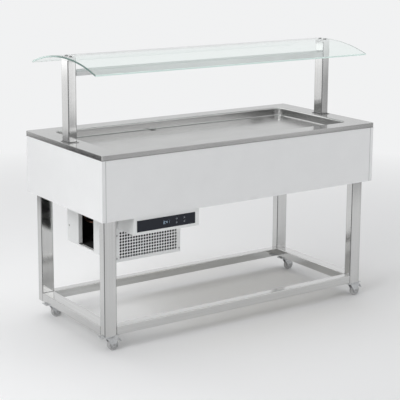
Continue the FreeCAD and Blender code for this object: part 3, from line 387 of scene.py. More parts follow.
class Finish:
    """A material whose nodes are added one at a time."""

    def __init__(self, name, **constants):
        self.material = bpy.data.materials.new(name)
        self.material.use_nodes = True
        self.tree = self.material.node_tree
        self.shader = self.tree.nodes["Principled BSDF"]
        for socket, value in constants.items():
            self.shader.inputs[socket.replace("_", " ")].default_value = value
        self.coordinates = self.node("ShaderNodeTexCoord").outputs["Object"]

    def node(self, kind, **settings):
        made = self.tree.nodes.new(kind)
        for key, value in settings.items():
            setattr(made, key, value)
        return made

    def feed(self, target, value):
        """Link an output to a socket, or set the socket."""
        if isinstance(value, bpy.types.NodeSocket):
            self.tree.links.new(value, target)
        else:
            target.default_value = value

    def stretched(self, scale):
        mapping = self.node("ShaderNodeMapping")
        mapping.inputs["Scale"].default_value = scale
        self.feed(mapping.inputs["Vector"], self.coordinates)
        return mapping.outputs["Vector"]

    def noise(self, scale, detail=3.0, roughness=0.5, vector=None, distortion=0.0):
        made = self.node("ShaderNodeTexNoise")
        for socket, value in (("Scale", scale), ("Detail", detail), ("Roughness", roughness),
                              ("Distortion", distortion), ("Vector", vector or self.coordinates)):
            self.feed(made.inputs[socket], value)
        return made.outputs["Fac"]

    def cells(self, scale):
        """A random colour for each crystal."""
        made = self.node("ShaderNodeTexVoronoi", feature="F1")
        self.feed(made.inputs["Scale"], scale)
        self.feed(made.inputs["Vector"], self.coordinates)
        return made.outputs["Color"]

    def ranged(self, value, low, high, start=0.3, end=0.7):
        made = self.node("ShaderNodeMapRange")
        for socket, number in (("From Min", start), ("From Max", end), ("To Min", low), ("To Max", high)):
            made.inputs[socket].default_value = number
        self.feed(made.inputs["Value"], value)
        return made.outputs["Result"]

    def maths(self, operation, first, second):
        made = self.node("ShaderNodeMath", operation=operation)
        self.feed(made.inputs[0], first)
        self.feed(made.inputs[1], second)
        return made.outputs[0]

    def mixed(self, factor, first, second):
        made = self.node("ShaderNodeMix", data_type="RGBA")
        self.feed(made.inputs["Factor"], factor)
        for socket, tint in ((made.inputs[6], first), (made.inputs[7], second)):
            self.feed(socket, tint if isinstance(tint, bpy.types.NodeSocket) else (*tint[:3], 1.0))
        return made.outputs[2]

    def along(self, axis):
        """One object coordinate."""
        made = self.node("ShaderNodeSeparateXYZ")
        self.feed(made.inputs[0], self.coordinates)
        return made.outputs[axis]

    def set(self, socket, value):
        self.feed(self.shader.inputs[socket], value)

    def bump(self, value, distance, strength):
        made = self.node("ShaderNodeBump")
        made.inputs["Distance"].default_value = distance
        made.inputs["Strength"].default_value = strength
        self.feed(made.inputs["Height"], value)
        self.set("Normal", made.outputs["Normal"])


def shade(tint, factor):
    """A darker or lighter tint."""
    return tuple(min(1.0, channel * factor) for channel in tint[:3])


def brushed(name, tint, axis, rough=(0.26, 0.36), contrast=0.10, fine=1100):
    """Brushed steel: fine and broad grain lines along one axis, and wipe marks."""
    made = Finish(name, Metallic=1.0)

    def grain(across, along):
        return [along if index == axis else across for index in range(3)]

    hair = made.noise(1.0, 2.0, 0.6, made.stretched(grain(fine, 5.0)))
    broad = made.noise(1.0, 3.0, 0.6, made.stretched(grain(150.0, 1.3)))
    smear = made.noise(4.5, 4.0, 0.6, distortion=0.4)
    lines = made.maths("ADD", made.maths("MULTIPLY", hair, 0.55), made.maths("MULTIPLY", broad, 0.45))
    made.set("Base Color", made.mixed(made.ranged(lines, 0.0, 1.0, 0.36, 0.64),
                                      shade(tint, 1 - contrast), shade(tint, 1 + contrast)))
    made.set("Roughness", made.maths("ADD", made.ranged(smear, *rough), made.ranged(hair, -0.03, 0.03)))
    made.bump(lines, 0.00003, 0.5)
    return made.material


def laminate(name, tint):
    """White laminate: mottle, orange peel, dust towards the lower edge, and painted shade in the corner
    joints and in a thin line just under the worktop.
    """
    made = Finish(name, Coat_Weight=0.15, Coat_Roughness=0.12)
    bottom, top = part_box("front_panel")[0].z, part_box("front_panel")[1].z
    mottle = made.noise(9.0, 5.0, 0.6)
    specks = made.noise(420.0, 2.0, 0.5)
    low = made.ranged(made.along("Z"), 1.0, 0.0, bottom, bottom + 0.03)
    body = made.mixed(made.ranged(mottle, 0.0, 1.0), shade(tint, 0.982), shade(tint, 1.008))
    dusty = made.maths("MULTIPLY", low, made.ranged(made.noise(24.0, 4.0), 0.0, 0.30, 0.45, 0.75))
    across = made.maths("ABSOLUTE", made.along("X"), 0.0)
    off_joint = made.maths("ABSOLUTE", made.maths("SUBTRACT", across, SKIRT_JOINT), 0.0)
    # Painted shade: a thin dark line at each corner joint and just under the worktop's edge, where shadow
    # falls in the gaps.
    corner = made.ranged(off_joint, 1.0, 0.0, 0.0008, 0.0016)
    under = made.ranged(made.along("Z"), 0.0, 1.0, top - 0.0027, top - 0.002)
    painted_joint_shade = made.maths("MAXIMUM", made.maths("MULTIPLY", corner, 0.6), under)
    worn = made.mixed(dusty, body, shade(tint, 0.86))
    made.set("Base Color", made.mixed(painted_joint_shade, worn, shade(tint, 0.16)))
    made.set("Roughness", made.ranged(made.noise(30.0, 4.0), 0.30, 0.40))
    made.bump(specks, 0.00004, 0.35)
    return made.material


def grained(name, tint, metallic=0.0, rough=(0.4, 0.5), scale=300.0, contrast=0.05, relief=0.00005,
            **constants):
    """Moulded, cast, plated or painted surface: fine grain with broad, faint variation."""
    made = Finish(name, Metallic=metallic, **constants)
    grain = made.noise(scale, 3.0, 0.55)
    broad = made.noise(scale / 22, 4.0, 0.6, distortion=0.3)
    patches = made.maths("ADD", made.maths("MULTIPLY", grain, 0.4), made.maths("MULTIPLY", broad, 0.6))
    made.set("Base Color", made.mixed(made.ranged(patches, 0.0, 1.0, 0.38, 0.62),
                                      shade(tint, 1 - contrast), shade(tint, 1 + contrast)))
    made.set("Roughness", made.ranged(broad, *rough))
    made.bump(grain, relief, 0.6)
    return made.material


def zinc(name, tint):
    """Zinc plate: a fine spangle with small bright and dull crystals."""
    made = Finish(name, Metallic=0.95)
    split = made.node("ShaderNodeSeparateColor")
    made.feed(split.inputs[0], made.cells(260.0))
    stain = made.ranged(made.noise(28.0, 4.0, 0.6), 0.0, 1.0, 0.35, 0.75)
    made.set("Base Color", made.mixed(stain, shade(tint, 1.03), shade(tint, 0.82)))
    made.set("Roughness", made.ranged(split.outputs[0], 0.24, 0.40, 0.0, 1.0))
    made.bump(made.noise(700.0, 2.0), 0.00003, 0.5)
    return made.material


def board(name, tint, axis, across=220.0):
    """Raw board or wood: long pores along one axis."""
    made = Finish(name)
    grain = made.stretched([7.0 if index == axis else across for index in range(3)])
    pores = made.noise(1.0, 4.0, 0.6, grain)
    made.set("Base Color", made.mixed(made.ranged(pores, 0.0, 1.0), shade(tint, 0.72), shade(tint, 1.12)))
    made.set("Roughness", made.ranged(pores, 0.65, 0.85))
    made.bump(pores, 0.0002, 0.6)
    return made.material


def tyre(name, tint):
    """Grey tread: fine moulded grain, worn and dusty where it rolls."""
    made = Finish(name)
    grain = made.noise(900.0, 2.0)
    scuffs = made.noise(75.0, 5.0, 0.65, distortion=0.6)
    made.set("Base Color", made.mixed(made.ranged(scuffs, 0.0, 1.0, 0.42, 0.72),
                                      shade(tint, 0.92), shade(tint, 1.45)))
    made.set("Roughness", made.ranged(scuffs, 0.55, 0.8))
    made.bump(made.maths("ADD", grain, made.maths("MULTIPLY", scuffs, 0.6)), 0.00012, 0.6)
    return made.material


def clear_glass(name, tint, rough, weight):
    """Tempered glass with a faint waviness and a trace of haze."""
    made = Finish(name, IOR=1.5, Transmission_Weight=weight)
    haze = made.noise(13.0, 4.0, 0.6)
    made.set("Base Color", made.mixed(made.ranged(haze, 0.0, 1.0), tint, shade(tint, 0.985)))
    made.set("Roughness", made.ranged(haze, rough, rough + 0.006))
    made.bump(made.noise(2.2, 1.0), 0.0003, 0.04)
    return made


def paler(made, tint):
    """Let a finish run into a paler one towards the rear."""
    rear = made.ranged(made.along("Y"), 0.0, 0.7, 0.0, 0.16)
    body = made.shader.inputs["Base Color"].links[0].from_socket
    made.set("Base Color", made.mixed(rear, body, tint))


def lit(name, tint, strength):
    """A lamp, digit or symbol behind the dark pane."""
    made = Finish(name, Emission_Strength=strength)
    glow = made.mixed(made.ranged(made.noise(350.0, 2.0), 0.0, 1.0), shade(tint, 0.85), tint)
    made.set("Base Color", glow)
    made.set("Emission Color", glow)
    made.set("Roughness", made.ranged(made.noise(120.0), 0.3, 0.4))
    return made.material


def make_finishes():
    """Every finish, by name."""
    tints = bpy.context.scene.bar_finishes
    steel, tube = tuple(tints.top_steel), tuple(tints.tube_steel)
    brushed("top steel", steel, 0, (0.15, 0.22), 0.07, 900)
    for axis, letter in enumerate("xyz"):
        brushed(f"tube steel {letter}", tube, axis, (0.09, 0.15), 0.07)
    # Dark finish for the rounded corners of the tubes: painted reflection of dark surroundings.
    grained("tube corner", (0.20, 0.20, 0.20), 1.0, (0.2, 0.3), 300.0, 0.06, 0.00002)
    brushed("bolt steel", (0.42, 0.42, 0.42), 2, (0.28, 0.4), 0.06, 2200)
    # Near-black steel for the waste outlet and strainer: painted shade of the drain hole.
    grained("dull steel", (0.035, 0.035, 0.035), 0.6, (0.35, 0.5), 400.0, 0.10, 0.00003)
    laminate("laminate", tuple(tints.laminate))
    clear_glass("canopy glass", tuple(tints.glass), 0.0, 1.0)
    # Opaque pale edges with no transmission: painted glow of light carried inside the glass.
    clear_glass("canopy glass edge", tuple(tints.painted_edge_glow), 0.2, 0.0)
    ends = clear_glass("canopy glass end", tuple(tints.glass_end), 0.10, 0.30)
    paler(ends, tuple(tints.painted_edge_glow))
    grained("opal cover", (0.84, 0.85, 0.84), 0.0, (0.35, 0.45), 500.0, 0.01, 0.00002)
    brushed("satin aluminium", (0.62, 0.63, 0.63), 0, (0.3, 0.4), 0.05, 1600)
    grained("unit sheet", tuple(tints.unit_sheet), 0.0, (0.36, 0.46), 900.0, 0.015, 0.00004)
    grained("inner sheet", (0.50, 0.51, 0.51), 0.85, (0.35, 0.45), 240.0, 0.06, 0.00003)
    zinc("zinc plate", (0.62, 0.63, 0.64))
    tyre("grey tyre", tuple(tints.tyre))
    grained("black plastic", (0.022, 0.022, 0.023), 0.0, (0.42, 0.55), 800.0, 0.12, 0.00006)
    grained("black enamel", (0.012, 0.012, 0.013), 0.0, (0.18, 0.3), 160.0, 0.15, 0.00008, Coat_Weight=0.4)
    grained("fascia pane", tuple(tints.fascia), 0.0, (0.16, 0.24), 60.0, 0.08, 0.00001,
            Specular_IOR_Level=0.3)
    grained("key plastic", (0.055, 0.062, 0.075), 0.0, (0.45, 0.55), 1200.0, 0.08)
    lit("display glow", tuple(tints.digits), 0.3)
    grained("symbol ink", (0.46, 0.50, 0.55), scale=900.0)
    grained("copper", (0.60, 0.27, 0.16), 1.0, (0.22, 0.36), 90.0, 0.16, 0.00004)
    # Copper darkened nearly to black: painted shade for the lines inside the housing.
    grained("aged copper", (0.13, 0.07, 0.05), 0.9, (0.35, 0.5), 90.0, 0.2, 0.00005)
    grained("brass", (0.55, 0.40, 0.17), 1.0, (0.28, 0.42), 350.0, 0.10, 0.0001)
    grained("fin aluminium", (0.55, 0.56, 0.57), 0.9, (0.35, 0.5), 150.0, 0.08, 0.00004)
    grained("foam", (0.72, 0.71, 0.67), 0.0, (0.85, 0.95), 420.0, 0.12, 0.0006)
    grained("seal rubber", (0.03, 0.03, 0.03), 0.0, (0.6, 0.75), 700.0, 0.15, 0.00008)
    brushed("weld steel", (0.5, 0.5, 0.5), 1, (0.2, 0.3), 0.12, 1500)
    grained("cap plastic", (0.45, 0.46, 0.46), 0.0, (0.4, 0.5), 900.0, 0.03, 0.00004)
    grained("wheel core", (0.34, 0.345, 0.35), 0.0, (0.42, 0.55), 800.0, 0.06)
    grained("coated fins", (0.008, 0.008, 0.009), 0.0, (0.6, 0.75), 150.0, 0.15, 0.00004,
            Specular_IOR_Level=0.2)
    grained("sleeve foam", (0.018, 0.018, 0.018), 0.0, (0.75, 0.9), 500.0, 0.2, 0.0003)
    grained("grip vinyl", (0.03, 0.10, 0.30), 0.0, (0.35, 0.5), 600.0, 0.05, 0.00004)
    board("core board", (0.40, 0.33, 0.25), 0)
    board("dowel wood", (0.55, 0.38, 0.2), 2)


def material(name):
    """A finish that is made already."""
    return bpy.data.materials[name]


def each(kind, places):
    """The nodes of one kind."""
    return tuple(f"{kind}_{place}" for place in places)


CARRIED = {
    "top steel": ("worktop", "cold_well"),
    "tube steel x": ("bottom_rail_front", "bottom_rail_back", "top_frame"),
    "tube steel y": ("bottom_rail_left", "bottom_rail_right"),
    "tube steel z": (*each("leg", LEGS), "post_left", "post_right", "glass_saddles"),
    "bolt steel": ("glass_bolts", "drain_outlet", "drain_strainer", *each("castor_axle", CASTORS)),
    "laminate": ("left_panel", "right_panel", "front_panel", "back_panel"),
    "canopy glass": ("glass_canopy",),
    "opal cover": ("light_diffuser",),
    "satin aluminium": ("light_housing",),
    "unit sheet": ("unit_housing", "condenser_grille", "control_box"),
    "zinc plate": ("castor_mounts", *each("castor_fork", CASTORS), *each("brake_lever", CASTORS[:2])),
    "grey tyre": each("castor_wheel", CASTORS),
    "black plastic": ("cable_gland", "fan_shroud", "fan_rotor"),
    "black enamel": ("compressor", "fan_motor"),
    "fascia pane": ("control_fascia",),
    "key plastic": each("control_key", (1, 2, 3, 4)),
    "copper": ("evaporator_coil", "refrigerant_lines"),
    "brass": ("drain_pipe", "drain_valve_lever"),
    "fin aluminium": ("condenser",),
    "foam": ("well_insulation",),
    "core board": ("worktop_core",),
    "dowel wood": ("panel_dowels",),
}


class BAR_OT_finishes(bpy.types.Operator):
    """Make every finish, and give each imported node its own"""
    bl_idname = "bar.finishes"
    bl_label = "Finishes"

    def execute(self, context):
        make_finishes()
        for finish, nodes in CARRIED.items():
            for node in nodes:
                slots = NODES[node].data.materials
                slots.clear()
                slots.append(material(finish))
        return {"FINISHED"}


# ---------------------------------------------------------------- worktop and well

def rounded_loop(name, half_x, half_y, level, radius, steps):
    """The outline of a rounded rectangle, as edges only."""
    piece = flat(name, (0, 0, level), 2 * half_x, 2 * half_y)
    pick(piece, "VERT", lambda part: True)
    bpy.ops.mesh.bevel(offset=radius, segments=steps, affect="VERTICES", clamp_overlap=False)
    bpy.ops.mesh.select_all(action="SELECT")
    bpy.ops.mesh.delete(type="ONLY_FACE")
    rest()
    return piece


def quarter(radius, steps):
    """Steps of a quarter round, as pairs of an inward move and a rise, which is negative."""
    turns = [math.pi / 2 * index / steps for index in range(steps + 1)]
    return [(radius * (math.sin(b) - math.sin(a)), radius * (math.cos(b) - math.cos(a)))
            for a, b in zip(turns, turns[1:])]


class BAR_OT_worktop(bpy.types.Operator):
    """One pressed sheet: worktop, rolled lip, well wall and well floor"""
    bl_idname = "bar.worktop"
    bl_label = "Worktop and Well"

    def execute(self, context):
        sizes = context.scene.bar_sizes
        low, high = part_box("worktop")
        steps, lip = sizes.corner_steps, sizes.lip_round
        edge_x, edge_y = WELL_HALF_X + lip, WELL_HALF_Y + lip
        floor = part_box("cold_well")[1].z - WELL_DEPTH
        outer = rounded_loop("worktop_sheet", high.x, high.y, high.z, TOP_CORNER, steps)
        inner = rounded_loop("well_edge", edge_x, edge_y, high.z, WELL_CORNER + lip, steps)
        sheet = join("worktop_sheet", [outer, inner])
        pick(sheet, "EDGE", lambda part: True)
        bpy.ops.mesh.bridge_edge_loops()
        pick(sheet, "EDGE", lambda part: all(abs(v.co.x) < edge_x + 0.001 and abs(v.co.y) < edge_y + 0.001
                                             for v in part.verts))
        bpy.ops.mesh.edge_face_add()
        pick(sheet, "VERT", lambda part: True)
        bpy.ops.mesh.normals_make_consistent(inside=False)
        pick(sheet, "FACE", lambda part: True)
        if sum(face.normal.z for face in bmesh.from_edit_mesh(sheet.data).faces) < 0:
            bpy.ops.mesh.flip_normals()
        wall = high.z - lip - sizes.floor_round - floor
        pressed(sheet, many_sided, *quarter(lip, 6), (sizes.draft, -wall),
                *reversed(quarter(sizes.floor_round, 6)))
        pick(sheet, "EDGE", lambda part: part.is_boundary)
        pull((0, 0, low.z - high.z))
        pull((0, 0, 0))
        bpy.ops.transform.resize(value=(1 - TOP_RETURN / high.x, 1 - TOP_RETURN / high.y, 1))
        rounded(sheet, lambda part: on_top(part, high.z)
                and any(abs(f.normal.z) < 0.1 for f in part.link_faces)
                and (abs(middle(part).x) > WELL_HALF_X + 0.05 or abs(middle(part).y) > WELL_HALF_Y + 0.05),
                sizes.edge_round, 3)
        modify(sheet, "SOLIDIFY", thickness=sizes.sheet, offset=-1, use_even_offset=True)
        drain = (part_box("drain_outlet")[0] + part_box("drain_outlet")[1]) / 2
        carved(sheet, [upright("drain_cut", drain, floor - 0.01, floor + 0.01, DRAIN_HOLE, 64)])
        smooth(sheet, 28)
        dressed(sheet, "top steel", "brushed_top", "root", "worktop")

        dish = upright("drain_seat", drain, floor - 0.0036, floor - 0.0002, DRAIN_SEAT, 64)
        soften(pressed(dish, faces_up, (0.0015,), (0.0012, -0.0022)), 0.0004)
        dressed(dish, "top steel", "brushed_top", "root", "cold_well")
        return {"FINISHED"}


# ---------------------------------------------------------------- skirt

class BAR_OT_skirt(bpy.types.Operator):
    """Four laminated boards with eased edges"""
    bl_idname = "bar.skirt"
    bl_label = "Skirt Boards"

    def execute(self, context):
        ease = context.scene.bar_sizes.board_round
        for side in ("left", "right", "front", "back"):
            panel = block(f"{side}_board", *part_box(f"{side}_panel"))
            soften(pressed(panel, faces_down, (0.0012,), (0.0, -0.0003)), ease, 3)
            dressed(panel, "laminate", "white_laminate", "root", f"{side}_panel")
        return {"FINISHED"}


# ---------------------------------------------------------------- canopy

class BAR_OT_canopy(bpy.types.Operator):
    """Curved glass with ground edges"""
    bl_idname = "bar.canopy"
    bl_label = "Canopy Glass"

    def execute(self, context):
        sizes = context.scene.bar_sizes
        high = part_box("glass_canopy")[1]
        centre = Vector((0, 0, high.z - GLASS_RADIUS))
        half = math.asin(high.y / GLASS_RADIUS)
        at = centre + Vector((0, -math.sin(half), math.cos(half))) * (GLASS_RADIUS - GLASS_THICK / 2)
        glass = flat("canopy_glass", at, 2 * high.x, GLASS_THICK, (math.pi / 2 + half, 0, 0))
        pick(glass, "FACE", lambda part: True)
        bpy.ops.mesh.spin(steps=48, angle=2 * half, center=centre, axis=(1, 0, 0))
        rest()
        face_out(glass)
        modify(glass, "BEVEL", width=sizes.glass_chamfer, segments=2, limit_method="ANGLE",
               angle_limit=math.radians(50))
        for finish in ("canopy glass", "canopy glass edge", "canopy glass end"):
            glass.data.materials.append(material(finish))
        end, edge = high.x - 0.0005, math.sin(half) * (GLASS_RADIUS - GLASS_THICK) - 0.002
        # The front and rear edges take the painted glow finish.
        pick(glass, "FACE", lambda part: abs(middle(part).y) > edge and -0.9 < part.normal.z < 0.9)
        glass.active_material_index = 1
        bpy.ops.object.material_slot_assign()
        pick(glass, "FACE", lambda part: abs(middle(part).x) > end)
        glass.active_material_index = 2
        bpy.ops.object.material_slot_assign()
        smooth(glass, 30)
        dressed(glass, None, "canopy_glass", "root", "glass_canopy")
        return {"FINISHED"}


# ---------------------------------------------------------------- legs, rails and posts

def tube(name, low, high, axis, corner=0.003):
    """A rectangular tube with rounded corners, closed at its ends."""
    piece = rounded(block(name, low, high), lambda part: reach(part, axis) > CLOSE, corner, 4)
    return smooth(pressed(piece, many_sided, (0.0008,), (0.0, -0.0003)), 30)


def painted_dark_corners(piece):
    """Give the rounded corners of a tube a dark finish: a painted reflection of the dark surroundings that
    the corners mirror.
    """
    piece.data.materials.append(material("tube corner"))
    pick(piece, "FACE", lambda part: sorted(abs(share) for share in part.normal)[1] > 0.15)
    piece.active_material_index = 1
    bpy.ops.object.material_slot_assign()
    rest()


def weld(name, start, end, radius=0.0021):
    """A bead of overlapping scales along an inside corner."""
    start, end = Vector(start), Vector(end)
    count = round((end - start).length / (radius * 1.15))
    rest()
    bpy.ops.mesh.primitive_uv_sphere_add(segments=10, ring_count=6, radius=radius, location=start)
    bpy.context.object.scale = (1.0, 1.0, 0.8)
    bead = settled(name)
    modify(bead, "ARRAY", count=count, use_relative_offset=False, use_constant_offset=True,
           constant_offset_displace=(end - start) / (count - 1))
    return smooth(bead, 60)


class BAR_OT_frame(bpy.types.Operator):
    """Legs, bottom rails, their weld beads, and the tubes under the worktop"""
    bl_idname = "bar.frame"
    bl_label = "Frame"

    def execute(self, context):
        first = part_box("leg_front_left")
        leg = tube("leg_tube", *first, 2)
        for place in LEGS:
            post = copied(leg, f"leg_tube_{place}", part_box(f"leg_{place}")[0] - first[0])
            dressed(post, "tube steel z", "polished_tube", "root", f"leg_{place}")
            painted_dark_corners(post)
        bpy.data.objects.remove(leg)
        for side, axis in (("front", 0), ("back", 0), ("left", 1), ("right", 1)):
            rail = tube(f"rail_tube_{side}", *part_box(f"bottom_rail_{side}"), axis)
            dressed(rail, f"tube steel {'xy'[axis]}", "polished_tube", "root", f"bottom_rail_{side}")
        self.beads()
        kept("top_frame", "top_frame_tubes", "tube steel x", "polished_tube", 0.0003)
        return {"FINISHED"}

    def beads(self):
        """One bead on top of each end of each rail."""
        beads = []
        for side in ("front", "back"):
            low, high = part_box(f"bottom_rail_{side}")
            for end in (low.x + 0.001, high.x - 0.001):
                beads.append(weld("bead", (end, low.y + 0.004, high.z), (end, high.y - 0.004, high.z)))
        for side in ("left", "right"):
            low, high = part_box(f"bottom_rail_{side}")
            for end in (low.y + 0.001, high.y - 0.001):
                beads.append(weld("bead", (low.x + 0.004, end, high.z), (high.x - 0.004, end, high.z)))
        dressed(join("rail_welds", beads), "weld steel", "polished_tube", "root")


class BAR_OT_posts(bpy.types.Operator):
    """Canopy posts with their collars and seals, saddles, bolts and the light"""
    bl_idname = "bar.posts"
    bl_label = "Posts and Light"

    def execute(self, context):
        past_x, past_y, thick = POST_FLANGE
        for side in ("left", "right"):
            low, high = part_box(f"post_{side}")
            collar = block(f"post_collar_{side}", low, (high.x, high.y, low.z + thick))
            soften(rounded(collar, lambda part: reach(part, 2) > CLOSE, 0.004, 5), 0.0008)
            shaft = tube("post_shaft", (low.x + past_x, low.y + past_y, low.z + thick - 0.001),
                         (high.x - past_x, high.y - past_y, high.z), 2)
            post = join(f"post_tube_{side}", [shaft, collar])
            dressed(post, "tube steel z", "polished_tube", "root", f"post_{side}")
            painted_dark_corners(post)
            seal_x, seal_y = past_x - 0.0008, past_y - 0.0008
            seal = block(f"post_seal_{side}", (low.x + seal_x, low.y + seal_y, low.z + thick - 0.0002),
                         (high.x - seal_x, high.y - seal_y, low.z + thick + 0.0012))
            soften(pressed(seal, faces_up, (0.0006, 0.0004)), 0.0004)
            dressed(seal, "seal rubber", "polished_tube", "root")
        self.bolts()
        self.light()
        return {"FINISHED"}

    def bolts(self):
        """Saddles, and bolts with a six-sided recess in each head."""
        kept("glass_saddles", "glass_pads", "tube steel z", "polished_tube", 0.0008)
        bolts = eased("glass_bolts", "glass_bolt_set", 0.0008, 3)
        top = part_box("glass_bolts")[1].z
        recesses = [upright("recess", (x, y), top - 0.0018, top + 0.001, 0.0034, 6)
                    for x in (-BOLT_X, BOLT_X) for y in (-BOLT_Y, BOLT_Y)]
        dressed(carved(bolts, recesses), "bolt steel", "bolt_steel", "root", "glass_bolts")

    def light(self):
        """Extruded housing with a ribbed back, end caps and a prismatic cover."""
        low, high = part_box("light_housing")
        rail = block("light_rail", (low.x + 0.003, low.y, low.z), (high.x - 0.003, high.y, high.z))
        rounded(rail, lambda part: on_top(part, high.z) and reach(part, 0) > 0.1, 0.006, 6)
        pressed(rail, faces_down, (0.002,), (0.0, -0.017))
        pick(rail, "EDGE", lambda part: on_top(part, high.z) and reach(part, 1) > 0.01)
        bpy.ops.mesh.subdivide(number_cuts=15)
        pressed(rail, lambda part: faces_up(part) and round(middle(part).y / 0.00275) % 2 == 0
                and abs(middle(part).y) < 0.02, (0.0004, -0.0006), individual=True)
        smooth(rail, 30)
        dressed(rail, "satin aluminium", "satin_aluminium", "root", "light_housing")
        caps = []
        for near, far in ((low.x, low.x + 0.0032), (high.x - 0.0032, high.x)):
            cap = block("light_cap", (near, low.y, low.z), (far, high.y, high.z))
            rounded(cap, lambda part: on_top(part, high.z) and reach(part, 0) > 0.001, 0.006, 6)
            caps.append(soften(cap, 0.0006, 2, 50))
        dressed(join("light_caps", caps), "cap plastic", "satin_aluminium", "root")
        low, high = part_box("light_diffuser")
        cover = block("light_cover", low, high)
        ribs = 32
        pick(cover, "EDGE", lambda part: reach(part, 1) > 0.01)
        bpy.ops.mesh.subdivide(number_cuts=ribs - 1)
        step = (high.y - low.y) / ribs
        pick(cover, "VERT", lambda part: part.co.z < low.z + CLOSE
             and round((part.co.y - low.y) / step) % 2 == 1)
        bpy.ops.transform.translate(value=(0, 0, 0.0009))
        rest()
        smooth(cover, 20)
        dressed(cover, "opal cover", "light_cover", "root", "light_diffuser")


# ---------------------------------------------------------------- castors

class BAR_OT_castors(bpy.types.Operator):
    """Plates and races, swivel forks, wheels with a tyre and a core, axles and brake levers"""
    bl_idname = "bar.castors"
    bl_label = "Castors"

    def execute(self, context):
        kept("castor_mounts", "castor_plates", "zinc plate", "zinc_plate", 0.0004)
        tyre, core = self.tyre(), self.core()
        for place in CASTORS:
            node = f"castor_wheel_{place}"
            centre = (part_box(node)[0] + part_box(node)[1]) / 2
            dressed(copied(tyre, f"tyre_{place}", centre), "grey tyre", "grey_tyre", BODY_OF[node], node)
            dressed(copied(core, f"wheel_core_{place}", centre), "wheel core", "grey_tyre", BODY_OF[node])
            for kind, piece, finish, slot, width in (
                    ("castor_fork", "fork", "zinc plate", "zinc_plate", 0.0005),
                    ("castor_axle", "axle", "bolt steel", "bolt_steel", 0.0003),
                    ("brake_lever", "pedal", "zinc plate", "zinc_plate", 0.0005)):
                node = f"{kind}_{place}"
                if node in NODES:
                    kept(node, f"{piece}_{place}", finish, slot, width)
        for spare in (tyre, core):
            bpy.data.objects.remove(spare)
        return {"FINISHED"}

    def tyre(self):
        """Tread with rounded shoulders, and a wall with a fine moulded ring."""
        tyre = bar("tyre", (0, -0.009, 0), (0, 0.009, 0), 0.025, 64)
        rounded(tyre, lambda part: any(len(face.verts) > 4 for face in part.link_faces), 0.0042, 6)
        pressed(tyre, many_sided, (0.0016,), (0.0003, -0.0004), (0.0005,), (0.0003, 0.0004), (0.0014,),
                (0.0007, -0.0012), individual=True)
        return smooth(tyre, 35)

    def core(self):
        """Dished disc with a raised rim, and the hub that fills the fork."""
        disc = bar("core", (0, -0.0087, 0), (0, 0.0087, 0), 0.0166, 48)
        pressed(disc, many_sided, (0.0003, 0.0002), (0.0012,), (0.0005, -0.0016), (0.0052, -0.0006),
                (0.0006, 0.0016), (0.0012,), individual=True)
        hub = bar("hub", (0, -0.0104, 0), (0, 0.0104, 0), 0.0066, 32)
        soften(hub, 0.0006, 2, 50)
        return smooth(join("core", [disc, hub]), 35)


# ---------------------------------------------------------------- condensing unit

def screw():
    """A pan-head screw with a cross recess, at the origin, pointing up."""
    tall = 0.0022
    head = upright("screw", (0, 0), 0, tall, 0.0038, 24)
    rounded(head, lambda part: on_top(part, tall), 0.0012, 4)
    arms = [block("arm", (-0.0019, -0.0004, 0.0012), (0.0019, 0.0004, 0.003)),
            block("arm", (-0.0004, -0.0019, 0.0012), (0.0004, 0.0019, 0.003))]
    return smooth(carved(head, arms), 35)


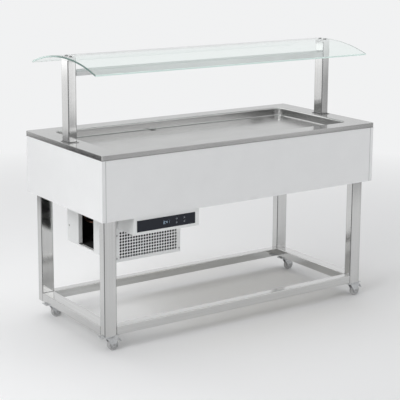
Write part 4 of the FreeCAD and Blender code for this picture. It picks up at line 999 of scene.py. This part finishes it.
class BAR_OT_unit(bpy.types.Operator):
    """Hung housing with its vent and screws, grille, condenser, compressor, fan and lines"""
    bl_idname = "bar.unit"
    bl_label = "Condensing Unit"

    def execute(self, context):
        self.housing()
        self.screws()
        self.condenser(context.scene.bar_sizes.fin_pitch)
        self.compressor()
        self.fan()
        # The refrigerant lines get the near-black copper: painted shade inside the housing.
        kept("refrigerant_lines", "line_set", "aged copper", "copper")
        sleeve = upright("suction_sleeve", (-0.545, 0.1735), 0.49, 0.768, 0.0095, 24)
        soften(sleeve, 0.0015, 2, 50)
        dressed(sleeve, "sleeve foam", "black_plastic", "root")
        kept("cable_gland", "lead_gland", "black plastic", "black_plastic", 0.0008)
        return {"FINISHED"}

    def housing(self):
        """Tray, back and two sides of folded sheet; a vent in the left side."""
        low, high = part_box("unit_housing")
        gauge, ledge = 0.0015, 0.025
        floor = low.z + gauge
        left = block("side", (low.x, low.y, floor), (low.x + gauge, high.y, high.z))
        carved(left, [block("vent", (low.x - 0.01, VENT_Y[0], VENT_Z[0]),
                            (low.x + 0.01, VENT_Y[1], VENT_Z[1]))])
        sheets = [left, block("tray", low, (high.x, high.y, floor)),
                  block("rear", (low.x + gauge, high.y - gauge, floor), (high.x - gauge, high.y, high.z)),
                  block("side", (high.x - gauge, low.y, floor), (high.x, high.y, high.z)),
                  block("flange", (low.x + gauge, VENT_Y[1], VENT_Z[0]),
                        (low.x + 0.02, VENT_Y[1] + gauge, VENT_Z[1])),
                  block("ledge", (low.x + gauge, low.y, high.z - gauge),
                        (low.x + ledge, high.y - gauge, high.z)),
                  block("ledge", (high.x - ledge, low.y, high.z - gauge),
                        (high.x - gauge, high.y - gauge, high.z))]
        for sheet in sheets:
            soften(sheet, 0.0004, 2, 50)
        dressed(join("unit_sheets", sheets), "unit sheet", "housing_sheet", "root", "unit_housing")
        near, far = low.x + gauge, high.x - gauge
        # Black sheets on the tray, back and right side inside the housing: painted shade, so that the vent
        # looks dark.
        start, front, back, base, lid = near + 0.022, low.y + 0.075, high.y - gauge, floor + 0.001, 0.74
        lining = [block("lining", (start, front, floor), (far, back, base)),
                  block("lining", (start, back - 0.002, base), (far, back, lid)),
                  block("lining", (far - 0.002, front, base), (far, back - 0.002, lid))]
        for sheet in lining:
            soften(sheet, 0.0004, 2, 50)
        dressed(join("sound_lining", lining), "sleeve foam", "black_plastic", "root")

    def screws(self):
        """Pan-head screws on the grille, the left side and the back."""
        low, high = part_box("unit_housing")
        front, rear, side = (math.pi / 2, 0, 0), (-math.pi / 2, 0, 0), (0, -math.pi / 2, 0)
        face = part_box("condenser_grille")[0].y
        places = [((x, face, z), front) for x in (low.x + 0.006, high.x - 0.0065) for z in (0.372, 0.475)]
        places += [((low.x, -0.066, 0.43), side), ((low.x, 0.222, 0.43), side), ((low.x, -0.066, 0.7), side)]
        places += [((x, high.y, z), rear) for x in (low.x + 0.012, high.x - 0.012)
                   for z in (0.38, 0.55, 0.74)]
        dressed(repeated(screw(), "unit_screws", places), "bolt steel", "bolt_steel", "root")

    def condenser(self, pitch):
        """Dark coated fins between end plates, with the return bends of the tube outside them."""
        low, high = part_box("condenser")
        low.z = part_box("fan_shroud")[0].z
        inset = 0.006
        fin = block("condenser_fins", (low.x + inset, low.y + 0.001, low.z + 0.002),
                    (low.x + inset + 0.0003, high.y, high.z - 0.002))
        pick(fin, "EDGE", lambda part: reach(part, 2) > 0.1)
        bpy.ops.mesh.subdivide(number_cuts=7)
        pick(fin, "VERT", lambda part: part.co.y < low.y + 0.002
             and round((part.co.z - low.z) / 0.028) % 2 == 1)
        bpy.ops.transform.translate(value=(0.0007, 0, 0))
        rest()
        count = int((high.x - low.x - 2 * inset) / pitch)
        modify(fin, "ARRAY", count=count, use_relative_offset=False, use_constant_offset=True,
               constant_offset_displace=(pitch, 0, 0))
        plates = [block("plate", (x, low.y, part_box("condenser")[0].z), (x + 0.0012, high.y, high.z))
                  for x in (low.x + 0.004, high.x - 0.0052)]
        plates += [block("rail", (low.x + 0.004, low.y, z), (high.x - 0.004, high.y, z + 0.0012))
                   for z in (low.z, high.z - 0.0012)]
        for plate in plates:
            soften(plate, 0.0003, 1, 50)
        dressed(fin, "coated fins", "fin_aluminium", "root", "condenser")
        dressed(join("condenser_plates", plates), "inner sheet", "zinc_plate", "root")
        self.bends(low, high)

    def bends(self, low, high):
        """Half rings of copper tube at both ends of the fins."""
        ring = bar("bend", (0, 0.0123, 0), (0.0004, 0.0123, 0), 0.0045, 14)
        pick(ring, "FACE", lambda part: part.normal.x > 0.9)
        bpy.ops.mesh.delete(type="FACE")
        pick(ring, "EDGE", lambda part: all(v.co.x > 0.0003 for v in part.verts))
        bpy.ops.mesh.spin(steps=12, angle=math.pi, center=(0.0004, 0, 0), axis=(0, 0, 1))
        pick(ring, "EDGE", lambda part: part.is_boundary)
        bpy.ops.mesh.edge_face_add()
        rest()
        face_out(ring)
        smooth(ring, 60)
        half = math.pi / 2
        places = []
        for row in range(6):
            z = low.z + 0.022 + row * 0.037
            places.append(((low.x + 0.004, (low.y + high.y) / 2, z), (half, 0, math.pi)))
            if row < 5:
                places.append(((high.x - 0.004, (low.y + high.y) / 2, z + 0.018), (half, 0, 0)))
        dressed(repeated(ring, "return_bends", places), "copper", "copper", "root")

    def compressor(self):
        """Enamelled shell with a welded seam and rubber feet."""
        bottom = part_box("compressor")[0].z
        x, y = ((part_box("fan_rotor")[0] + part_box("fan_rotor")[1]) / 2).x, 0.11
        shell = eased("compressor", "compressor_shell", 0.0015, 3)
        seam = upright("seam", (x, y), bottom + 0.083, bottom + 0.089, 0.0742, 96)
        soften(seam, 0.0014, 3, 50)
        cover = block("terminal_cover", (x + 0.074, y - 0.022, bottom + 0.054),
                      (x + 0.096, y + 0.022, bottom + 0.114))
        soften(cover, 0.003, 3)
        dressed(join("compressor_shell", [shell, seam]), "black enamel", "black_enamel", "root", "compressor")
        dressed(cover, "black plastic", "black_plastic", "root")
        foot = upright("foot", (0, 0), 0, 0.006, 0.011, 24)
        soften(foot, 0.0015, 2, 50)
        places = [((x + right, y + back, bottom + 0.0105),) for right in (-0.068, 0.068)
                  for back in (-0.035, 0.035)]
        dressed(repeated(foot, "compressor_feet", places), "seal rubber", "black_plastic", "root")

    def fan(self):
        """Hub and five twisted blades; the motor and the ring around them."""
        low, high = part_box("fan_motor")
        x, z = (low.x + high.x) / 2, high.z - 0.036
        hub = bar("hub", (x, FAN_Y - 0.01, z), (x, FAN_Y + 0.01, z), 0.022, 48)
        soften(hub, 0.003, 3, 50)
        shaft = bar("shaft", (x, FAN_Y + 0.004, z), (x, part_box("fan_rotor")[1].y, z), 0.004, 16)
        blade = flat("blade", (0, 0, 0.051), 0.046, 0.07, (math.pi / 2, 0, 0))
        pick(blade, "FACE", lambda part: True)
        bpy.ops.mesh.subdivide(number_cuts=7)
        levels = sorted({round(v.co.z, 5) for v in bmesh.from_edit_mesh(blade.data).verts})
        for index, level in enumerate(levels):
            pick(blade, "VERT", lambda part: abs(part.co.z - level) < 1e-4)
            bpy.ops.transform.rotate(value=math.radians(-38 + 2.4 * index), orient_axis="Z",
                                     center_override=(0, 0, level))
        rest()
        modify(blade, "SOLIDIFY", thickness=0.0016, offset=0)
        soften(blade, 0.0006, 2, 50)
        places = [((x, FAN_Y, z), (0, math.radians(72 * turn), 0)) for turn in range(5)]
        blades = repeated(blade, "blades", places)
        dressed(join("fan_wheel", [blades, hub, shaft]), "black plastic", "black_plastic",
                BODY_OF["fan_rotor"], "fan_rotor")
        kept("fan_shroud", "fan_ring", "black plastic", "black_plastic", 0.0008)
        kept("fan_motor", "motor_can", "black enamel", "black_enamel", 0.002, 3)


# ---------------------------------------------------------------- controls

SEGMENTS = {"3": "abgcd", "4": "fgbc"}


class BAR_OT_controls(bpy.types.Operator):
    """Control box, its dark pane, lit digits, lamps and keys with symbols"""
    bl_idname = "bar.controls"
    bl_label = "Controls"

    def execute(self, context):
        low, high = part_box("control_box")
        case = block("control_case", low, high)
        soften(pressed(case, lambda part: part.normal.y > 0.9, (0.0015,), (0.0, -0.02)), 0.0012, 3, 50)
        dressed(case, "unit sheet", "housing_sheet", "root", "control_box")
        kept("control_fascia", "control_pane", "fascia pane", "dark_fascia", 0.0004)
        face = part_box("control_fascia")[0].y
        self.digits(face)
        self.keys()
        return {"FINISHED"}

    def digits(self, face):
        """Two digits with a point, and three lamps beside them."""
        bars = []
        for place, digit in ((-0.442, "3"), (-0.428, "4")):
            for letter in SEGMENTS[digit]:
                bars.append(self.segment(place, letter, face))
        lamp = pressed(upright("lamp", (0, 0), 0, 0.0003, 0.0008, 16), faces_up, (0.0003,))
        spots = [((-0.4335, face, 0.5372), (math.pi / 2, 0, 0))]
        spots += [((-0.413, face, z), (math.pi / 2, 0, 0)) for z in (0.5385, 0.5445, 0.5505)]
        dressed(join("display_digits", [*bars, repeated(lamp, "lamps", spots)]), "display glow",
                "dark_fascia", "root")

    def segment(self, x, letter, face):
        """One bar of a digit with mitred ends, on the pane."""
        tall, wide, stroke, thin, lean = 0.0058, 0.0075, 0.0011, 0.0001, 0.12
        levels = {"a": tall, "g": 0, "d": -tall}
        if letter in levels:
            size = Vector((wide / 2 - 0.0008, thin, stroke / 2))
            aside, up = 0, levels[letter]
        else:
            size = Vector((stroke / 2, thin, tall / 2 - 0.0005))
            aside, up = wide / 2 if letter in "bc" else -wide / 2, tall / 2 if letter in "bf" else -tall / 2
        piece = rounded(block("digit", -size, size), lambda part: reach(part, 1) > CLOSE, stroke * 0.48, 1)
        work_on(piece)
        piece.location = (x + aside + up * lean, face - thin, 0.5445 + up)
        return settled("digit")

    def keys(self):
        """Dished caps, each with a raised symbol."""
        makers = (self.arrow, self.arrow, self.ring, self.star)
        for number, maker in enumerate(makers, start=1):
            node = f"control_key_{number}"
            low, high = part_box(node)
            centre = (low + high) / 2
            kept(node, f"key_cap_{number}", "key plastic", "key_plastic", 0.0005)
            symbol = maker()
            turn = (0, math.pi, 0) if number == 1 else (0, 0, 0)
            work_on(symbol)
            symbol.location, symbol.rotation_euler = (centre.x, low.y - 0.00005, centre.z), turn
            dressed(settled(f"key_symbol_{number}"), "symbol ink", "key_plastic", BODY_OF[node])

    def arrow(self):
        """A solid triangle that points up."""
        rest()
        bpy.ops.mesh.primitive_cylinder_add(vertices=3, radius=0.0026, depth=0.0001,
                                            rotation=(math.pi / 2, 0, 0))
        return soften(settled("symbol"), 0.0002, 2, 50)

    def ring(self):
        """A broken ring with a stem."""
        rest()
        bpy.ops.mesh.primitive_torus_add(major_radius=0.0021, minor_radius=0.0003, major_segments=32,
                                         minor_segments=6, rotation=(math.pi / 2, 0, 0))
        loop = settled("symbol")
        loop = carved(loop, [block("gap", (-0.0008, -0.001, 0.001), (0.0008, 0.001, 0.004))])
        stem = block("stem", (-0.0003, -0.0001, 0.0006), (0.0003, 0.0001, 0.0028))
        soften(stem, 0.0001)
        work_on(join("symbol", [loop, stem]))
        bpy.context.object.scale = (1, 0.2, 1)
        return settled("symbol")

    def star(self):
        """Six spokes."""
        spokes = []
        for turn in range(3):
            spoke = block("spoke", (-0.00025, -0.0001, -0.0026), (0.00025, 0.0001, 0.0026))
            soften(spoke, 0.0001)
            work_on(spoke)
            spoke.rotation_euler = (0, math.radians(60 * turn), 0)
            spokes.append(settled("spoke"))
        return join("symbol", spokes)


# ---------------------------------------------------------------- drain

class BAR_OT_drain(bpy.types.Operator):
    """Waste outlet, perforated strainer, pipe with its valve, and the lever with its grip"""
    bl_idname = "bar.drain"
    bl_label = "Drain"

    def execute(self, context):
        # The outlet and strainer get the near-black steel: painted shade of the drain hole.
        kept("drain_outlet", "waste_outlet", "dull steel", "bolt_steel", 0.0004)
        low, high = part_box("drain_strainer")
        centre, top = (low + high) / 2, high.z
        disc = upright("strainer_disc", centre, top - 0.0012, top, 0.012, 48)
        rounded(disc, lambda part: on_top(part, top), 0.0006, 3)
        holes = []
        for count, radius in ((1, 0.0), (6, 0.0045), (12, 0.0085)):
            for index in range(count):
                turn = 2 * math.pi * index / count
                x, y = centre.x + radius * math.cos(turn), centre.y + radius * math.sin(turn)
                holes.append(upright("hole", (x, y), top - 0.01, top + 0.01, 0.0013, 12))
        smooth(carved(disc, [join("holes", holes)]), 35)
        dressed(disc, "dull steel", "bolt_steel", "root", "drain_strainer")
        kept("drain_pipe", "waste_pipe", "brass", "brass_fitting", 0.0008)
        kept("drain_valve_lever", "valve_handle", "zinc plate", "brass_fitting", 0.001)
        low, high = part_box("drain_valve_lever")
        level = (low.z + high.z) / 2
        grip = block("valve_grip", (low.x - 0.0004, low.y - 0.0006, level - 0.0068),
                     (low.x + 0.042, high.y + 0.0006, level + 0.0068))
        soften(grip, 0.0018, 3)
        dressed(grip, "grip vinyl", "black_plastic", BODY_OF["drain_valve_lever"])
        kept("evaporator_coil", "cold_coil", "copper", "copper")
        return {"FINISHED"}


# ---------------------------------------------------------------- stage

# Name, setting, place, target and size of each soft light
SOFTBOXES = (
    ("key_light", "key", (-4.0, -1.2, 2.9), (0, 0, 0.7), (2.6, 2.2)),
    ("top_light", "top", (0.2, 0.4, 3.6), (0, 0, 0.9), (3.0, 2.0)),
    ("rear_light", "rear", (-0.9, 2.3, 3.0), (0, 0, 0.9), (2.2, 1.2)),
    ("front_panel", "front", (2.8, -4.6, 0.42), (0, 0, 0.42), (2.2, 0.8)),
    ("window_panel", "window", (2.8, -4.6, 1.75), (0, 0, 1.75), (2.2, 1.5)),
    ("back_panel", "back", (-2.9, 4.2, 0.62), (0, 0, 0.62), (2.2, 1.2)),
    ("fill_light", "fill", (3.0, -2.2, 1.2), (0.6, -0.35, 0.7), (1.6, 1.2)),
)
FLOOR_SIZE = 80
FADE = (1.4, 4.0)                                   # where the floor runs into the background
RING_START, RING_END = (2.5, 3.4), (9.0, 10.5)      # where the floor's dark ring comes and goes
LOOKS = ("Is Camera Ray", "Is Glossy Ray", "Is Transmission Ray")


class BAR_OT_stage(bpy.types.Operator):
    """Plain pale floor, soft lights and the camera"""
    bl_idname = "bar.stage"
    bl_label = "Stage"

    def execute(self, context):
        stage = context.scene.bar_stage
        floor = flat("studio_floor", (0, 0, 0), FLOOR_SIZE, FLOOR_SIZE)
        floor.data.materials.append(self.floor_finish(stage))
        self.sky(context, stage)
        for name, setting, place, target, size in SOFTBOXES:
            lamp = self.softbox(name, place, target, size, getattr(stage, setting))
            lamp.visible_glossy = setting != "fill"
        rest()
        bpy.ops.object.camera_add(location=stage.camera_place, rotation=stage.camera_turn)
        camera = context.object
        camera.name = "camera"
        camera.data.sensor_width = 36.0
        camera.data.lens = stage.lens
        camera.data.shift_y = stage.rise
        camera.data.clip_end = 200.0
        context.scene.camera = camera
        context.scene.view_settings.view_transform = "Standard"
        return {"FINISHED"}

    def softbox(self, name, place, target, size, power):
        """A soft rectangular light that faces its target and is not itself seen."""
        rest()
        turn = (Vector(target) - Vector(place)).to_track_quat("-Z", "Y").to_euler()
        bpy.ops.object.light_add(type="AREA", location=place, rotation=turn)
        lamp = bpy.context.object
        lamp.name = lamp.data.name = name
        lamp.data.shape = "RECTANGLE"
        lamp.data.size, lamp.data.size_y = size
        lamp.data.energy = power
        lamp.visible_camera = lamp.visible_transmission = False
        return lamp

    def seen(self, tree, *rays):
        """1 where the camera, a reflection or glass looks, 0 for light that falls on the object."""
        paths = tree.nodes.new("ShaderNodeLightPath")
        total = paths.outputs[rays[0]]
        for ray in rays[1:]:
            larger = tree.nodes.new("ShaderNodeMath")
            larger.operation = "MAXIMUM"
            tree.links.new(total, larger.inputs[0])
            tree.links.new(paths.outputs[ray], larger.inputs[1])
            total = larger.outputs[0]
        return total

    def mirrored(self, tree):
        """1 where steel or paint mirrors, 0 where the camera looks, also through the glass."""
        paths, apart = tree.nodes.new("ShaderNodeLightPath"), tree.nodes.new("ShaderNodeMath")
        apart.operation, apart.use_clamp = "SUBTRACT", True
        tree.links.new(paths.outputs["Is Glossy Ray"], apart.inputs[0])
        tree.links.new(paths.outputs["Is Transmission Ray"], apart.inputs[1])
        return apart.outputs[0]

    def either(self, tree, factor, first, second):
        """A mix of two shaders."""
        choice = tree.nodes.new("ShaderNodeMixShader")
        for socket, source in zip(choice.inputs, (factor, first, second)):
            tree.links.new(source, socket)
        return choice.outputs[0]

    def floor_finish(self, stage):
        """Matt pale floor that runs into the plain background a few metres from the object.

        Steel mirrors a dark ring of it, towards the front right and the back left.
        """
        made = Finish("studio floor", Roughness=0.7, Specular_IOR_Level=0.2, Base_Color=(*stage.floor, 1.0))
        tree = made.tree
        measure = made.node("ShaderNodeVectorMath", operation="LENGTH")
        tree.links.new(made.coordinates, measure.inputs[0])
        away = measure.outputs["Value"]
        sides = made.maths("MULTIPLY", made.along("X"), made.along("Y"))
        plain, dark = made.node("ShaderNodeEmission"), made.node("ShaderNodeEmission")
        plain.inputs["Color"].default_value = (*stage.background, 1.0)
        dark.inputs["Color"].default_value = (*stage.surround, 1.0)
        lit = made.shader.outputs[0]
        fade = made.maths("MULTIPLY", self.seen(tree, *LOOKS), made.ranged(away, 0.0, 1.0, *FADE))
        ring = made.maths("MULTIPLY", made.ranged(away, 0.0, 1.0, *RING_START),
                          made.ranged(away, 1.0, 0.0, *RING_END))
        quarters = made.maths("MULTIPLY", made.ranged(made.along("Y"), 0.45, 1.0, 0.0, 1.0),
                              made.ranged(sides, 1.0, 0.0, -5.0, -1.0))
        edge = made.maths("MULTIPLY", made.maths("MULTIPLY", self.mirrored(tree), ring), quarters)
        surface = self.either(tree, edge, self.either(tree, fade, lit, plain.outputs[0]), dark.outputs[0])
        tree.links.new(surface, tree.nodes["Material Output"].inputs["Surface"])
        return made.material

    def sky(self, context, stage):
        """Soft light, a plain background where one looks, and low down the dark room that steel mirrors."""
        world = bpy.data.worlds.new("studio")
        world.use_nodes = True
        context.scene.world = world
        tree = world.node_tree
        soft = tree.nodes["Background"]
        soft.inputs["Color"].default_value = (0.97, 0.98, 1.0, 1.0)
        soft.inputs["Strength"].default_value = stage.sky
        plain, dark = tree.nodes.new("ShaderNodeBackground"), tree.nodes.new("ShaderNodeBackground")
        for node, tint in ((plain, stage.background), (dark, stage.surround)):
            node.inputs["Color"].default_value = (*tint, 1.0)
        split, sides, turned, low, near, edge = (tree.nodes.new("ShaderNode" + kind) for kind in (
            "SeparateXYZ", "Math", "MapRange", "MapRange", "Math", "Math"))
        sides.operation = near.operation = edge.operation = "MULTIPLY"
        for ramp, start, end in ((turned, -0.12, -0.32), (low, 0.20, 0.10)):
            for name, number in (("From Min", start), ("From Max", end), ("To Min", 0.0), ("To Max", 1.0)):
                ramp.inputs[name].default_value = number
        for source, socket in ((tree.nodes.new("ShaderNodeTexCoord").outputs["Generated"], split.inputs[0]),
                               (split.outputs["X"], sides.inputs[0]), (split.outputs["Y"], sides.inputs[1]),
                               (sides.outputs[0], turned.inputs["Value"]),
                               (split.outputs["Z"], low.inputs["Value"]),
                               (turned.outputs["Result"], near.inputs[0]),
                               (low.outputs["Result"], near.inputs[1]),
                               (near.outputs[0], edge.inputs[0]), (self.mirrored(tree), edge.inputs[1])):
            tree.links.new(source, socket)
        around = self.either(tree, self.seen(tree, *LOOKS), soft.outputs[0], plain.outputs[0])
        tree.links.new(self.either(tree, edge.outputs[0], around, dark.outputs[0]),
                       tree.nodes["World Output"].inputs["Surface"])


# ---------------------------------------------------------------- panel and registration

STEPS = (BAR_OT_finishes, BAR_OT_worktop, BAR_OT_skirt, BAR_OT_frame, BAR_OT_posts, BAR_OT_canopy,
         BAR_OT_castors, BAR_OT_unit, BAR_OT_controls, BAR_OT_drain, BAR_OT_stage)


class BAR_PT_pieces(bpy.types.Panel):
    """Lists the settings and the steps that build the salad bar"""
    bl_idname = "BAR_PT_pieces"
    bl_label = "Salad Bar"
    bl_space_type = "VIEW_3D"
    bl_region_type = "UI"
    bl_category = "Salad Bar"

    def draw(self, context):
        for settings in (context.scene.bar_sizes, context.scene.bar_finishes, context.scene.bar_stage):
            column = self.layout.column()
            for name in settings.bl_rna.properties.keys():
                if name not in ("rna_type", "name"):
                    column.prop(settings, name)
        for step in STEPS:
            self.layout.operator(step.bl_idname)


SETTINGS = (("bar_sizes", BarSizes), ("bar_finishes", BarFinishes), ("bar_stage", BarStage))


def register():
    for name, group in SETTINGS:
        bpy.utils.register_class(group)
        setattr(bpy.types.Scene, name, bpy.props.PointerProperty(type=group))
    for step in (*STEPS, BAR_PT_pieces):
        bpy.utils.register_class(step)


def unregister():
    for step in reversed((*STEPS, BAR_PT_pieces)):
        bpy.utils.unregister_class(step)
    for name, group in reversed(SETTINGS):
        delattr(bpy.types.Scene, name)
        bpy.utils.unregister_class(group)


def main():
    """Register the add-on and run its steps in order."""
    register()
    for step in STEPS:
        group, name = step.bl_idname.split(".")
        if getattr(getattr(bpy.ops, group), name)() != {"FINISHED"}:
            raise RuntimeError(f"{step.bl_label} did not finish")
    rest()


if __name__ == "__main__":
    main()
